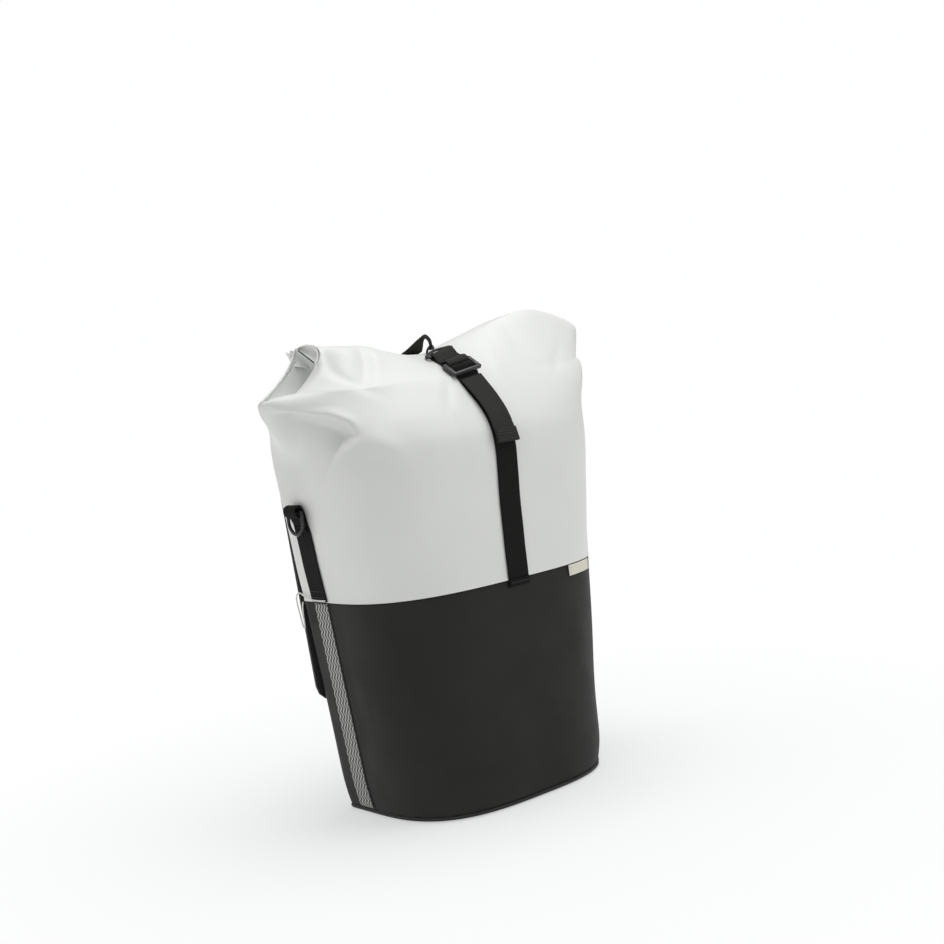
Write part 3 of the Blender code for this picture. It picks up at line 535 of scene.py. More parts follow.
def tube_parts(path, radius, sides=12, closed=False):
    """Points, faces and uvs of a round tube along a path, its ends closed by domes of one point."""
    pts = np.array(path, float)
    count = len(pts)
    if closed:
        along = np.roll(pts, -1, 0) - np.roll(pts, 1, 0)
    else:
        along = np.gradient(pts, axis=0)
    along = unit(along)
    first = unit(np.cross(along[0], (0.13, 0.27, 0.95)))
    points, uvs = [], []
    travelled = travelled_along(pts)
    for i in range(count):
        first = unit(first - along[i] * (first @ along[i]))
        second = np.cross(along[i], first)
        for k in range(sides):
            angle = 2 * math.pi * k / sides
            points.append(pts[i] + radius * (math.cos(angle) * first + math.sin(angle) * second))
            uvs.append((radius * angle, travelled[i]))
    faces = grid_faces(count, sides, True)
    if closed:
        last = (count - 1) * sides
        ring = np.array(points).reshape(count, sides, 3)
        shift = int(np.argmin(np.linalg.norm(ring[0] - ring[-1, 0], axis=1)))
        for k in range(sides):
            n = (k + 1) % sides
            faces.append((last + k, last + n, (n + shift) % sides, (k + shift) % sides))
    else:
        for ring, turn in ((0, -1), (count - 1, 1)):
            points.append(pts[ring] + along[ring] * radius * 0.5 * turn)
            uvs.append((0, travelled[ring]))
            tip = len(points) - 1
            for k in range(sides):
                a, b = ring * sides + k, ring * sides + (k + 1) % sides
                faces.append((a, b, tip) if turn > 0 else (b, a, tip))
    return points, faces, uvs


def make_tag_cord():
    curve = bpy.data.curves.new("tag_cord_braid", "CURVE")
    curve.dimensions = "3D"
    curve.bevel_depth = CORD_R
    curve.bevel_resolution = 3
    curve.use_fill_caps = True
    path = smooth_path(CORD_ROUTE, 96)
    line = curve.splines.new("POLY")
    line.points.add(len(path) - 1)
    for spot, point in zip(line.points, path):
        spot.co = (*point, 1)
    cord = link_object("tag_cord_braid", curve)
    finish_piece(cord, "bag", PALE_CORD, "pale_cord", "tag_cord")


# ---------------------------------------------------------------- the bag's sections

MOUTH_FRONT, MOUTH_BACK = -0.0460, 0.0560
# The front's and the back's y at each height, then half the width at each height.
FRONT_LINE = (
    (0.2100, FRONT_Y), (0.2500, -0.0792), (0.2900, -0.0806), (0.3200, -0.0831), (0.3370, -0.0832),
    (0.3530, -0.0805), (0.3700, -0.0725), (0.3850, -0.0620), (0.3960, -0.0530), (MOUTH_Z, MOUTH_FRONT),
)
BACK_LINE = (
    (0.2100, BACK_Y), (0.3400, BACK_Y), (0.3580, 0.0772), (0.3740, 0.0735), (0.3900, 0.0672),
    (MOUTH_Z, MOUTH_BACK),
)
WIDTH_LINE = (
    (0.0, BOTTOM_HALF_WIDTH), (0.07, 0.1293), (0.14, 0.1357), (0.21, SEAM_HALF_WIDTH), (0.25, 0.1470),
    (0.29, 0.1510), (0.325, 0.1550), (0.350, 0.1575), (0.372, 0.1590), (MOUTH_Z, 0.1600),
)


def read_line(line, z):
    return float(np.interp(z, [p[0] for p in line], [p[1] for p in line]))


def front_at(z):
    pairs = smooth_path(FRONT_LINE, 200)
    return float(np.interp(z, pairs[:, 0], pairs[:, 1]))


def half_section(half_width, front, back, straight=STRAIGHT_SIDE, corner=CORNER):
    """The left half of the D-shaped section: dense points from the back's middle round to the front's."""
    share = (back - front) / (BACK_Y - FRONT_Y)
    side_y = back - straight * share
    corner = corner * share
    points = [(-t * (half_width - corner), back) for t in np.linspace(0, 1, 40)]
    points += list(arc((corner - half_width, back - corner), corner, 90, 180, 12)[1:])
    points += [(-half_width, y) for y in np.linspace(back - corner, side_y, 14)[1:]]
    for turn in np.linspace(0, math.pi / 2, 160)[1:]:
        share_x = math.cos(turn) ** (2 / BOW)
        depth = math.sin(turn) ** (2 / BOW)
        points.append((-half_width * share_x, side_y - (side_y - front) * depth))
    return np.array(points)


def cut_line(points, counts, places):
    """A line resampled between places along it, given as lengths, with so many steps in each stretch."""
    along = travelled_along(points)
    wanted = []
    ends = [0, *places, along[-1]]
    for number, (low, high) in zip(counts, zip(ends[:-1], ends[1:])):
        wanted += list(np.linspace(low, high, number, endpoint=False))
    wanted.append(along[-1])
    return np.stack([np.interp(wanted, along, points[:, k]) for k in range(2)], axis=1)


COLUMNS = (56, 18, 22, 74)  # back half, back corner to ear, ear to front corner, front half


def body_half(z):
    """The left half of the section at this height, in columns."""
    back = read_line(BACK_LINE, z)
    front = front_at(z) if z > SEAM else FRONT_Y
    half_width = read_line(WIDTH_LINE, z)
    points = half_section(half_width, front, back)
    corner = CORNER * (back - front) / (BACK_Y - FRONT_Y)
    to_corner = half_width - corner + corner * math.pi / 4
    to_ear = half_width - corner + corner * math.pi / 2 + 0.022
    return cut_line(points, COLUMNS, (to_corner, to_ear, to_ear + 0.038))


def full_ring(left, right):
    """A closed ring of columns from its two halves, both given from the back's middle to the front's."""
    right = right * np.array([-1, 1])
    return np.vstack([left, right[::-1][1:-1]])


def mouth_half(spots):
    """A half of the flattened mouth through its stretches' control points."""
    line = [resample(smooth_path(stretch, 60), count + 1) for stretch, count in zip(spots, COLUMNS)]
    return np.vstack([piece[:-1] for piece in line[:-1]] + [line[-1]])


LEFT_EAR = (-0.1905, 0.0260)
LEFT_LIP = (-0.1660, 0.0000)
RIGHT_EAR = (0.1835, 0.0060)
RIGHT_LIP = (0.1735, -0.0150)
LEFT_MOUTH = (
    ((0, MOUTH_BACK), (-0.060, 0.0580), (-0.120, 0.0590), (-0.1470, 0.0560)),
    ((-0.1470, 0.0560), (-0.1700, 0.0440), LEFT_EAR),
    (LEFT_EAR, (-0.1820, 0.0120), LEFT_LIP),
    (LEFT_LIP, (-0.1400, -0.0170), (-0.1000, -0.0340), (-0.0500, -0.0440), (0, MOUTH_FRONT)),
)
RIGHT_MOUTH = (
    ((0, MOUTH_BACK), (0.060, 0.0560), (0.120, 0.0520), (0.1500, 0.0420)),
    ((0.1500, 0.0420), (0.1710, 0.0260), RIGHT_EAR),
    (RIGHT_EAR, (0.1800, -0.0050), RIGHT_LIP),
    (RIGHT_LIP, (0.1580, -0.0285), (0.1300, -0.0390), (0.0700, -0.0460), (0, MOUTH_FRONT)),
)
MOUTH = np.vstack([mouth_half(LEFT_MOUTH), mouth_half(RIGHT_MOUTH)[::-1][1:-1]])
RING = len(MOUTH)
# The columns at the ears, lips and front's middle, counted round from the back's middle by the left.
A_EAR = COLUMNS[0] + COLUMNS[1]
A_LIP = A_EAR + COLUMNS[2]
A_FRONT = A_LIP + COLUMNS[3]
B_LIP, B_EAR = 2 * A_FRONT - A_LIP, 2 * A_FRONT - A_EAR

# The ridge over the rolled mouth: x, y, z.
RIDGE = (
    (-0.1310, 0.0280, 0.4505), (-0.1134, 0.0245, 0.4472), (-0.0900, 0.0210, 0.4450),
    (-0.0734, 0.0193, 0.4428), (-0.0514, 0.0170, 0.4355), (-0.0284, 0.0148, 0.4308),
    (-0.0014, 0.0120, 0.4300), (0.0140, 0.0106, 0.4330), (0.0266, 0.0093, 0.4380),
    (0.0556, 0.0064, 0.4470), (0.0856, 0.0034, 0.4560), (0.1066, 0.0013, 0.4608),
    (0.1246, -0.0005, 0.4625), (0.1450, -0.0025, 0.4580), (0.1645, -0.0042, 0.4505),
    (0.1745, -0.0050, 0.4420),
)
RIDGE_LINE = resample(smooth_path(RIDGE, 300), 400)
BODY_ROWS = 96
TOP_ROWS = 72
FRONT_LIP_ROWS = 18
BACK_LIP_ROWS = 54
SHELL_T = 0.0012
FOLD_T = 0.0010
STIFFENER_T = 0.0011


def mouth_height(column):
    """How high the mouth's edge is at a column."""
    lifted = 0.0030 * bell(column, A_LIP, 12) - 0.0010 * bell(column, A_EAR, 8)
    return MOUTH_Z + lifted + 0.0040 * bell(column, B_LIP, 12) + 0.0020 * bell(column, B_EAR, 10)


def body_grid():
    """Rows of rings from the seam to the mouth."""
    tops = np.array([mouth_height(c) for c in range(RING)])
    rows = []
    for share in 1 - (1 - np.linspace(0, 1, BODY_ROWS)) ** 1.35:
        z = SEAM + 0.0003 + share * (MOUTH_Z - SEAM - 0.0003)
        half = body_half(z)
        ring = full_ring(half, half)
        front, back = front_at(z), read_line(BACK_LINE, z)
        flat = MOUTH.copy()
        flat[:, 1] = front + (MOUTH[:, 1] - MOUTH_FRONT) / (MOUTH_BACK - MOUTH_FRONT) * (back - front)
        mix = float(smoothstep(0.342, MOUTH_Z, z)) ** 1.2
        ring = (1 - mix) * ring + mix * flat
        height = z + (tops - MOUTH_Z) * float(smoothstep(0.30, 1.0, share))
        rows.append(np.column_stack([ring, height]))
    return np.array(rows)


def roll_strip(body, columns, control_y, ridge):
    """Rows from the mouth to the ridge over these columns, left to right. The ends turn over squarely."""
    mouth, below = body[-1][columns], body[-5][columns]
    rise = ridge[:, 2] - mouth[:, 2]
    lean = np.clip((mouth[:, 1] - below[:, 1]) / (mouth[:, 2] - below[:, 2]), -1.2, 1.2)
    y_c = control_y(mouth, ridge, mouth[:, 1] + lean * rise)
    drop = 0.0050 * bell(mouth[:, 0], LEFT_LIP[0], 0.022) * (y_c < ridge[:, 1])
    square = 1 + 1.4 * bell(mouth[:, 0], mouth[0, 0], 0.035) + 1.6 * bell(mouth[:, 0], mouth[-1, 0], 0.040)
    power = 1.6 - 0.6 * smoothstep(0.10, 0.16, mouth[:, 0])
    rows = []
    for step in range(TOP_ROWS + 1):
        u = step / TOP_ROWS
        first, middle, last = (1 - u) ** 2, 2 * u * (1 - u) * square, u ** 2
        total = first + middle + last
        y = (first * mouth[:, 1] + middle * y_c + last * ridge[:, 1]) / total
        climbed = 1 - first / total
        x = ridge[:, 0] + (mouth[:, 0] - ridge[:, 0]) * (1 - climbed) ** power
        rows.append(np.column_stack([x, y, mouth[:, 2] + climbed * rise - drop * middle / total]))
    return np.array(rows)


def front_control(mouth, ridge, tangent):
    """The front rises in line with the body, flatter under the strap and straight up at both ends."""
    pressed = smoothstep(0.085, 0.025, abs(mouth[:, 0]))
    slope = tangent * (1 - pressed) + -0.004 * pressed
    left = bell(mouth[:, 0], LEFT_LIP[0], 0.022)
    right = bell(mouth[:, 0], RIGHT_LIP[0], 0.030)
    steep = slope * (1 - left - right) + left * (LEFT_LIP[1] - 0.004) + right * (RIGHT_LIP[1] - 0.003)
    return np.minimum(steep, ridge[:, 1] - 0.004)


def back_control(mouth, *_):
    """The back bulges out over the mouth before it turns in, less so towards the ends."""
    end = np.maximum(smoothstep(-0.130, -0.178, mouth[:, 0]), smoothstep(0.120, 0.176, mouth[:, 0]))
    return (1 - end) * (0.0700 - 0.05 * mouth[:, 0]) + end * np.where(mouth[:, 0] < 0, 0.052, 0.034)


def coons(low, high, left, right, bulge):
    """A patch inside four edges. The low and high edges run left to right, and the others run low to high."""
    rows, columns = len(left), len(low)
    u = np.linspace(0, 1, columns)[None, :, None]
    v = np.linspace(0, 1, rows)[:, None, None]
    flat = (1 - v) * low[None] + v * high[None] + (1 - u) * left[:, None] + u * right[:, None]
    corners = (1 - u) * (1 - v) * low[0] + u * (1 - v) * low[-1] + (1 - u) * v * high[0] + u * v * high[-1]
    return flat - corners + bulge(u, v)


def roll_shell(body):
    """The rolled top's two strips, front and back, from the mouth to the ridge."""
    front_columns = np.arange(A_LIP, B_LIP + 1)
    back_columns = np.concatenate([np.arange(A_EAR, -1, -1), np.arange(RING - 1, B_EAR - 1, -1)])
    mouth_front, mouth_back = body[-1][front_columns], body[-1][back_columns]
    share = 0.5 * (
        (mouth_front[:, 0] - mouth_front[0, 0]) / (mouth_front[-1, 0] - mouth_front[0, 0])
        + (mouth_back[:, 0] - mouth_back[0, 0]) / (mouth_back[-1, 0] - mouth_back[0, 0])
    )
    ridge_x = RIDGE_LINE[:, 0]
    top_x = ridge_x[0] + share * (ridge_x[-1] - ridge_x[0])
    ridge = np.column_stack([np.interp(top_x, ridge_x, RIDGE_LINE[:, k]) for k in range(3)])
    front = roll_strip(body, front_columns, front_control, ridge)
    back = roll_strip(body, back_columns, back_control, ridge)
    crease = 0.0050 * bell(back[:, :, 2], 0.4020, 0.0060) * smoothstep(0.150, 0.120, abs(back[:, :, 0]))
    back[1:, :, 1] -= crease[1:]
    return front, back


def gusset(body, front, back, side):
    """The end panel, folded in behind the mouth's hem and the front lip, up to its straight top edge."""
    low, high = (A_EAR, A_LIP) if side < 0 else (B_LIP, B_EAR)
    rim = body[-1][low:high + 1]
    edge = 0 if side < 0 else -1
    lip_front = front[:FRONT_LIP_ROWS + 1, edge]
    lip_back = back[:BACK_LIP_ROWS + 1:BACK_LIP_ROWS // FRONT_LIP_ROWS, edge]
    start, end = (lip_back, lip_front) if side < 0 else (lip_front, lip_back)
    share = np.linspace(0, 1, len(rim))[:, None]
    chord = start[-1] + share * (end[-1] - start[-1])

    def bulge(u, v):
        forward = u if side < 0 else 1 - u
        behind_hem = 1 - np.exp(-v / 0.05)
        behind_lip = 1 - np.exp(-(1 - forward) / 0.07)
        from_back = 1 - np.exp(-forward / 0.15)
        depth = (1 if side < 0 else 0.4) * behind_hem * behind_lip * from_back * (1 - v) ** 1.2
        return depth * np.array([-0.042 * side, -0.002, -0.026])

    return coons(rim, chord, start, end, bulge), chord


def strip_parts(rows, turned=False):
    """Points, faces and uvs of a grid, as one part."""
    count, columns = rows.shape[:2]
    faces = grid_faces(count, columns, False)
    if turned:
        faces = [face[::-1] for face in faces]
    flat = rows.reshape(-1, 3)
    return flat, faces, flat[:, [0, 2]]


def normals_of(rows, closed):
    """Outward normals of rows of rings that rise, going anticlockwise from above."""
    if closed:
        across = np.roll(rows, -1, 1) - np.roll(rows, 1, 1)
    else:
        across = np.gradient(rows, axis=1)
    upward = np.gradient(rows, axis=0)
    made = np.cross(across, upward)
    return made / np.maximum(np.linalg.norm(made, axis=2, keepdims=True), 1e-9)


def weld(obj, distance):
    mesh = bmesh.new()
    mesh.from_mesh(obj.data)
    bmesh.ops.remove_doubles(mesh, verts=mesh.verts, dist=distance)
    mesh.to_mesh(obj.data)
    mesh.free()


# ---------------------------------------------------------------- dents and folds

# Creases over the front's left shoulder and the roll: points in millimetres, from one end to the other.
SHOULDER_CREASE = (
    (-185, 20, 394), (-171, 4, 391), (-159, -9, 387), (-148, -20, 384), (-141, -29, 379), (-135, -37, 373),
    (-130, -48, 360),
)
LOWER_WRINKLE = ((-141, -40, 352), (-126, -59, 335), (-108, -68, 314))
ROLL_FOLD = ((-121, 43, 437), (-124, 16, 441), (-126, -8, 422), (-112, -29, 405), (-92, -45, 392))
RIGHT_FOLD = ((148, 2, 440), (138, -22, 424), (116, -42, 404), (90, -55, 388))
STRAP_FOLD_LEFT = ((-20, -40, 410), (-34, -52, 394), (-46, -66, 376), (-52, -76, 356))
STRAP_FOLD_RIGHT = ((20, -40, 410), (32, -54, 394), (40, -68, 374))
SHALLOW_FOLDS = (
    (ROLL_FOLD, 0.0009), (RIGHT_FOLD, 0.0007), (STRAP_FOLD_LEFT, 0.0009), (STRAP_FOLD_RIGHT, 0.0007),
)


def nearest(points, line):
    """For each point: its distance to the line, the share along it, and how far above the line it is."""
    path = resample(smooth_path(np.array(line) / 1000.0, 60), 60)
    flat = points.reshape(-1, 3)
    gaps = np.linalg.norm(flat[:, None] - path[None], axis=2)
    best = gaps.argmin(axis=1)
    shape = points.shape[:-1]
    above = flat[:, 2] - path[best, 2]
    share = best / (len(path) - 1)
    return gaps.min(axis=1).reshape(shape), share.reshape(shape), above.reshape(shape)


def dents(rows):
    """How far each point of the light shell moves out along its normal, in metres."""
    x, y, z = rows[..., 0], rows[..., 1], rows[..., 2]
    away, share, above = nearest(rows, SHOULDER_CREASE)
    ends = smoothstep(0.0, 0.22, share) * smoothstep(1.0, 0.72, share)
    below = smoothstep(0.0015, -0.0025, above)
    hollow = away / 0.0115 * np.exp(1 - away / 0.0115) * below
    moved = -0.0150 * hollow * ends + 0.0022 * bell(away, 0.0, 0.0060) * ends
    away, share, above = nearest(rows, LOWER_WRINKLE)
    moved -= 0.0030 * bell(away, 0.0, 0.011) * np.sin(math.pi * np.clip(share, 0.02, 0.98))
    moved += 0.0014 * bell(away, 0.018, 0.009) * (above > 0) * np.sin(math.pi * np.clip(share, 0, 1))
    for line, depth in SHALLOW_FOLDS:
        away, share, _ = nearest(rows, line)
        fade = np.sin(math.pi * np.clip(share, 0.0, 1.0))
        moved += depth * fade * (bell(away, 0.010, 0.006) * 0.5 - bell(away, 0.0, 0.0045))
    moved -= 0.0035 * bell(np.hypot(y - 0.040, z - 0.340), 0.0, 0.017) * (x < -0.14)
    moved -= 0.0022 * bell(np.hypot(y - 0.020, z - 0.342), 0.0, 0.018) * (x > 0.14)
    moved -= 0.0034 * bell(np.hypot(x + 0.013, y + 0.011), 0.0, 0.015) * (z > 0.412)
    beside = bell(abs(x), 0.034, 0.014) * smoothstep(0.290, 0.340, z) * smoothstep(0.415, 0.395, z)
    return moved + 0.0015 * beside * (y < 0)


def waviness(rows, size, height):
    """Soft irregular waves, the same at each run."""
    flat = rows.reshape(-1, 3)
    made = [noise.noise(Vector((p[0] / size, p[1] / size + 3.1, p[2] / size))) for p in flat]
    return height * np.array(made).reshape(rows.shape[:-1])


def fixed_places(rows):
    """0 where something is sewn or bolted to the light shell, 1 elsewhere."""
    x, y, z = rows[..., 0], rows[..., 1], rows[..., 2]
    strap = smoothstep(0.0135, 0.026, abs(x)) + (y > 0)
    rear = smoothstep(0.0785, 0.070, y) + smoothstep(0.342, 0.365, z)
    webbing = smoothstep(0.014, 0.030, abs(y - SIDE_Y)) + smoothstep(0.302, 0.325, z)
    seam = smoothstep(SEAM + 0.002, SEAM + 0.030, z)
    return np.clip(strap, 0, 1) * np.clip(rear, 0, 1) * np.clip(webbing, 0, 1) * seam


def moved_out(rows, normals, amount):
    return rows + normals * amount[..., None]


# ---------------------------------------------------------------- the light shell

def end_pocket(front, back, side):
    """Inside the open end of the outer wrap: the next turn of fabric, set a little way in."""
    opening = np.vstack([front[FRONT_LIP_ROWS:], back[BACK_LIP_ROWS:][::-1][1:]])
    share = np.linspace(0, 1, len(opening))[:, None]
    line = opening[0] + share * (opening[-1] - opening[0])
    middle = line[len(line) // 2]
    rim = middle + (opening - middle) * 0.975
    inward = np.array([-side, 0, 0])
    rows = []
    for step in np.linspace(0, 1, 9):
        reach = 0.0018 + 0.0035 * math.sin(math.pi * step) ** 0.8 * np.sin(math.pi * share)
        rows.append(line * (1 - step) + rim * step + inward * reach)
    return strip_parts(np.array(rows), side < 0)


# Where each layer's edge starts from the roll's corner, and how it falls from there.
LAYER_EDGES = (
    ((0.0059, 0.0109, -0.0020), (-0.0006, -0.0117, -0.0140)),
    ((0.0040, 0.0064, -0.0009), (-0.0011, -0.0030, -0.0063)),
)


def layer_edges(corner, side):
    """The trimmed edges of the folded layers behind the roll's end: a long one and a short one."""
    parts = []
    for shift, fall in LAYER_EDGES:
        top = corner + np.array(shift) * (side, 1, 1)
        down = np.array(fall) * (side, 1, 1)
        rows = []
        for reach in np.linspace(0, 1, 7):
            inward = np.array((-0.010 * side * reach, -0.008 * reach, -0.003 * reach))
            rows.append([
                top + down * t + inward + np.array((0, 0.0008 * math.sin(3.1 * t), 0))
                for t in np.linspace(0, 1, 9)
            ])
        parts.append(strip_parts(np.array(rows), side > 0))
    return parts


def hem(body):
    """The mouth's edge curves over inward at both ends, tightly at the ear and widely at the front lip."""
    columns = np.arange(RING)
    left = smoothstep(A_EAR - 12, A_EAR, columns) * smoothstep(A_LIP + 16, A_LIP - 2, columns)
    right = smoothstep(B_LIP - 16, B_LIP + 2, columns) * smoothstep(B_EAR + 12, B_EAR, columns)
    widen = smoothstep(A_EAR, A_LIP, columns) * (columns < A_FRONT)
    radius = 0.0042 + 0.0080 * widen
    above = np.clip(body[..., 2] - (body[-1, :, 2] - radius), 0, radius * 0.98)
    inward = radius - np.sqrt(radius ** 2 - above ** 2)
    normals = normals_of(body, True)
    normals[..., 2] = 0
    return body - normals * (inward * (left + right))[..., None]


def dented_roll(rows, turn):
    """A strip of the roll with its dents and waves, which fade out along its edges."""
    amount = (dents(rows) + waviness(rows, 0.040, 0.0010)) * fixed_places(rows)
    share = np.linspace(0, 1, TOP_ROWS + 1)[:, None]
    amount = amount * smoothstep(0, 0.08, share) * smoothstep(1.0, 0.90, share)
    amount[:, :3] *= 0.3
    amount[:, -3:] *= 0.3
    return moved_out(rows, normals_of(rows, False) * turn, amount)


def make_upper_skin():
    """The light shell from the seam up over the roll, then what shows in the roll's open ends."""
    body = body_grid()
    normals = normals_of(body, True)
    loose = fixed_places(body)
    body = moved_out(body, normals, (dents(body) + waviness(body, 0.055, 0.0011)) * loose)
    welt = 0.0007 * smoothstep(SEAM + 0.0034, SEAM + 0.0014, body[..., 2]) * (body[..., 1] < BACK_Y - 0.006)
    body = hem(moved_out(body, normals, welt))
    front, back = roll_shell(body)
    front, back = dented_roll(front, 1), dented_roll(back, -1)
    flat = body.reshape(-1, 3)
    parts = [(flat, grid_faces(BODY_ROWS, RING, True), flat[:, [0, 2]])]
    parts += [strip_parts(front), strip_parts(back, True)]
    chords = {}
    for side in (-1, 1):
        patch, chords[side] = gusset(body, front, back, side)
        parts.append(strip_parts(patch))
    points, faces, _ = join_points(parts)
    skin = mesh_object("upper_skin", points, faces)
    weld(skin, 0.00002)
    thicken(skin, SHELL_T)
    finish_piece(skin, "bag", LIGHT_CLOTH, "light_tarpaulin", "upper_shell", "roll_top")
    make_end_folds("left", -1, front[:, 0], back[:, 0])
    make_end_folds("right", 1, front[:, -1], back[:, -1])
    make_stiffener(chords)


def make_end_folds(name, side, front, back):
    """What shows in one open end of the roll: the inner wrap, a rolled edge and the layers' edges."""
    parts = [end_pocket(front, back, side), tube_parts(back[:BACK_LIP_ROWS + 1:3], FOLD_T, 8)]
    parts += layer_edges(back[BACK_LIP_ROWS], side)
    points, faces, _ = join_points(parts)
    folds = mesh_object(f"roll_end_folds_{name}", points, faces)
    thicken(folds, FOLD_T)
    finish_piece(folds, "bag", LIGHT_CLOTH, "light_tarpaulin")


def thicken(obj, thickness):
    """Gives a sheet its thickness, inward, and shades it smooth."""
    thick = obj.modifiers.new("thickness", "SOLIDIFY")
    thick.thickness = thickness
    thick.offset = -1
    apply_modifiers(obj)
    obj.data.shade_smooth()
    obj.data.set_sharp_from_angle(angle=math.radians(50))


def make_stiffener(chords):
    """The stiff strip along the mouth, rolled up inside, with its ends showing at the chords."""
    left, right = chords[-1][::-1], chords[1]
    rows = []
    for share in np.linspace(0, 1, 40):
        spots = (1 - share) * left + share * right
        ridge = np.interp(spots[:, 0], RIDGE_LINE[:, 0], RIDGE_LINE[:, 2])
        ends = (1 - share) * RIDGE_LINE[0, 2] + share * RIDGE_LINE[-1, 2]
        drop = 0.0010 + 0.004 * math.sin(math.pi * share)
        narrow = 1 - 0.5 * float(smoothstep(0, 0.03, share) * smoothstep(1, 0.97, share))
        middle = spots.mean(axis=0)
        spots[:, 1:] = middle[1:] + (spots[:, 1:] - middle[1:]) * narrow
        spots[:, 2] += np.minimum(ridge - ends, 0) - drop
        rows.append(spots)
    rows = np.array(rows)[:, 2:-2]
    rows[0, :, 0] -= 0.0006
    rows[-1, :, 0] += 0.0006
    points, faces, _ = strip_parts(rows)
    strip = mesh_object("mouth_stiffener_strip", points, faces)
    thicken(strip, STIFFENER_T)
    finish_piece(strip, "bag", BOARD, "black_board", "mouth_stiffener")


# ---------------------------------------------------------------- the dark shell

FOOT_R = 0.0040
FOOT_Z = 0.0004
FOOT_HEIGHT = 0.040
FOOT_PULL = 0.0042


def foot_pull(z):
    """How far the dark shell draws in towards its foot."""
    return FOOT_PULL * np.clip(1 - np.asarray(z) / FOOT_HEIGHT, 0, 1) ** 2


def dark_ring(z, by=0.0):
    """A ring of the dark shell at a height. It draws in at the foot on all sides but the back."""
    pull = float(foot_pull(z))
    half_width = read_line(WIDTH_LINE, z) - pull - by
    half = resample(half_section(half_width, FRONT_Y + pull + by, BACK_Y - by), 120)
    ring = full_ring(half, half)
    return np.column_stack([ring, np.full(len(ring), z)])


def make_lower_skin():
    rows = []
    for angle in np.radians(np.linspace(90, 0, 7)):
        rows.append(dark_ring(FOOT_Z + FOOT_R * (1 - math.sin(angle)), FOOT_R * (1 - math.cos(angle))))
    rows += [dark_ring(z) for z in np.linspace(FOOT_Z + FOOT_R, SEAM - 0.0012, 70)[1:]]
    for by, under in ((0.0001, 0.0006), (0.0005, 0.0002), (0.0012, 0.0), (0.0022, 0.0002)):
        rows.append(dark_ring(SEAM - under, by))
    rows = np.array(rows)
    x, y, z = rows[..., 0], rows[..., 1], rows[..., 2]
    free = smoothstep(0.012, 0.040, z) * smoothstep(SEAM - 0.002, SEAM - 0.030, z)
    free *= smoothstep(BACK_Y - 0.001, BACK_Y - 0.012, y) * smoothstep(0.013, 0.024, abs(y - SIDE_Y))
    sag = 0.0016 * bell(np.hypot(x + 0.060, z - 0.120), 0, 0.050)
    sag += 0.0013 * bell(np.hypot(x - 0.085, z - 0.085), 0, 0.045)
    amount = waviness(rows, 0.075, 0.0010) - 0.0003 - sag * (y < 0)
    rows = moved_out(rows, normals_of(rows, True), amount * free)
    count = rows.shape[1]
    points = [tuple(p) for p in rows.reshape(-1, 3)]
    faces = grid_faces(rows.shape[0], count, True)
    points.append((0, 0, FOOT_Z))
    faces += [((j + 1) % count, j, len(points) - 1) for j in range(count)]
    skin = mesh_object("lower_skin", points, faces, sharp=60)
    finish_piece(skin, "bag", DARK_CLOTH, "dark_tarpaulin", "lower_shell")


PIPING_R = 0.0014
PIPING_Z = 0.0027


def make_piping():
    ring = dark_ring(0.0030, FOOT_R * 0.02)
    path = resample(np.vstack([ring, ring[:1]]), 241)[:-1]
    path[:, 2] = PIPING_Z
    piping = tube_parts(path, PIPING_R, 10, closed=True)
    make_piece("foot_piping", [piping], PIPING, "black_piping", "bottom_piping")


# ---------------------------------------------------------------- webbing

def band(spots, across, widths, thicknesses, ripple=0.0):
    """Points, faces and uvs of a flat band with rounded selvedges, its middle line on these spots."""
    spots = np.array(spots, float)
    count = len(spots)
    widths = np.broadcast_to(widths, count)
    thicknesses = np.broadcast_to(thicknesses, count)
    side = np.array(across, float)
    out = unit(np.cross(side, unit(np.gradient(spots, axis=0))))
    travelled = travelled_along(spots)
    flats = np.linspace(-1, 1, 9)
    bends = np.radians(np.linspace(90, -90, 7)[1:-1])
    points, uvs = [], []
    for i in range(count):
        half, radius = widths[i] / 2, thicknesses[i] / 2
        reach = half - radius
        section = [(s * reach, radius * (1 - 0.10 * (1 - s * s))) for s in flats]
        section += [(reach + radius * math.cos(a), radius * math.sin(a)) for a in bends]
        section += [(s * reach, -radius * (1 - 0.10 * (1 - s * s))) for s in flats[::-1]]
        section += [(-reach - radius * math.cos(a), -radius * math.sin(a)) for a in bends]
        wave = ripple * math.sin(travelled[i] * 160)
        for s, n in section:
            edge = wave * (s / half) ** 2 if half else 0
            points.append(spots[i] + side * s + out[i] * (n + edge))
            uvs.append((s, travelled[i]))
    ring = len(points) // count
    faces = [face[::-1] for face in grid_faces(count, ring, True)]
    faces.append(tuple(range(ring)))
    faces.append(tuple(range((count - 1) * ring, count * ring))[::-1])
    return points, faces, uvs


def offset_path(pairs, lift, count):
    """A smooth (0, y, z) path through (y, z) pairs, raised on its outer side."""
    path = smooth_path([(0, y, z) for y, z in pairs], count)
    return path + np.cross((1, 0, 0), unit(np.gradient(path, axis=0))) * lift


STITCH = 0.0024
THREAD_R = 0.00030
STITCH_REACH = 0.0112


def stitch(spot, heading, out):
    """One sewn stitch: a short bowed thread that dips into the cloth at both ends."""
    heading = unit(heading)
    out = unit(out - heading * (out @ heading))
    share = np.linspace(-0.5, 0.5, 5)[:, None]
    path = spot + heading * STITCH * share + out * THREAD_R * (0.75 - 4.6 * share * share)
    return tube_parts(path, THREAD_R, 6)


def stitch_line(path, out, pitch):
    """Stitches along a path on cloth that faces this way."""
    number = max(1, int(travelled_along(path)[-1] / pitch))
    fine, out = resample(path, 2 * number + 1), np.array(out, float)
    return [stitch(fine[k], fine[k + 1] - fine[k - 1], out) for k in range(1, 2 * number, 2)]


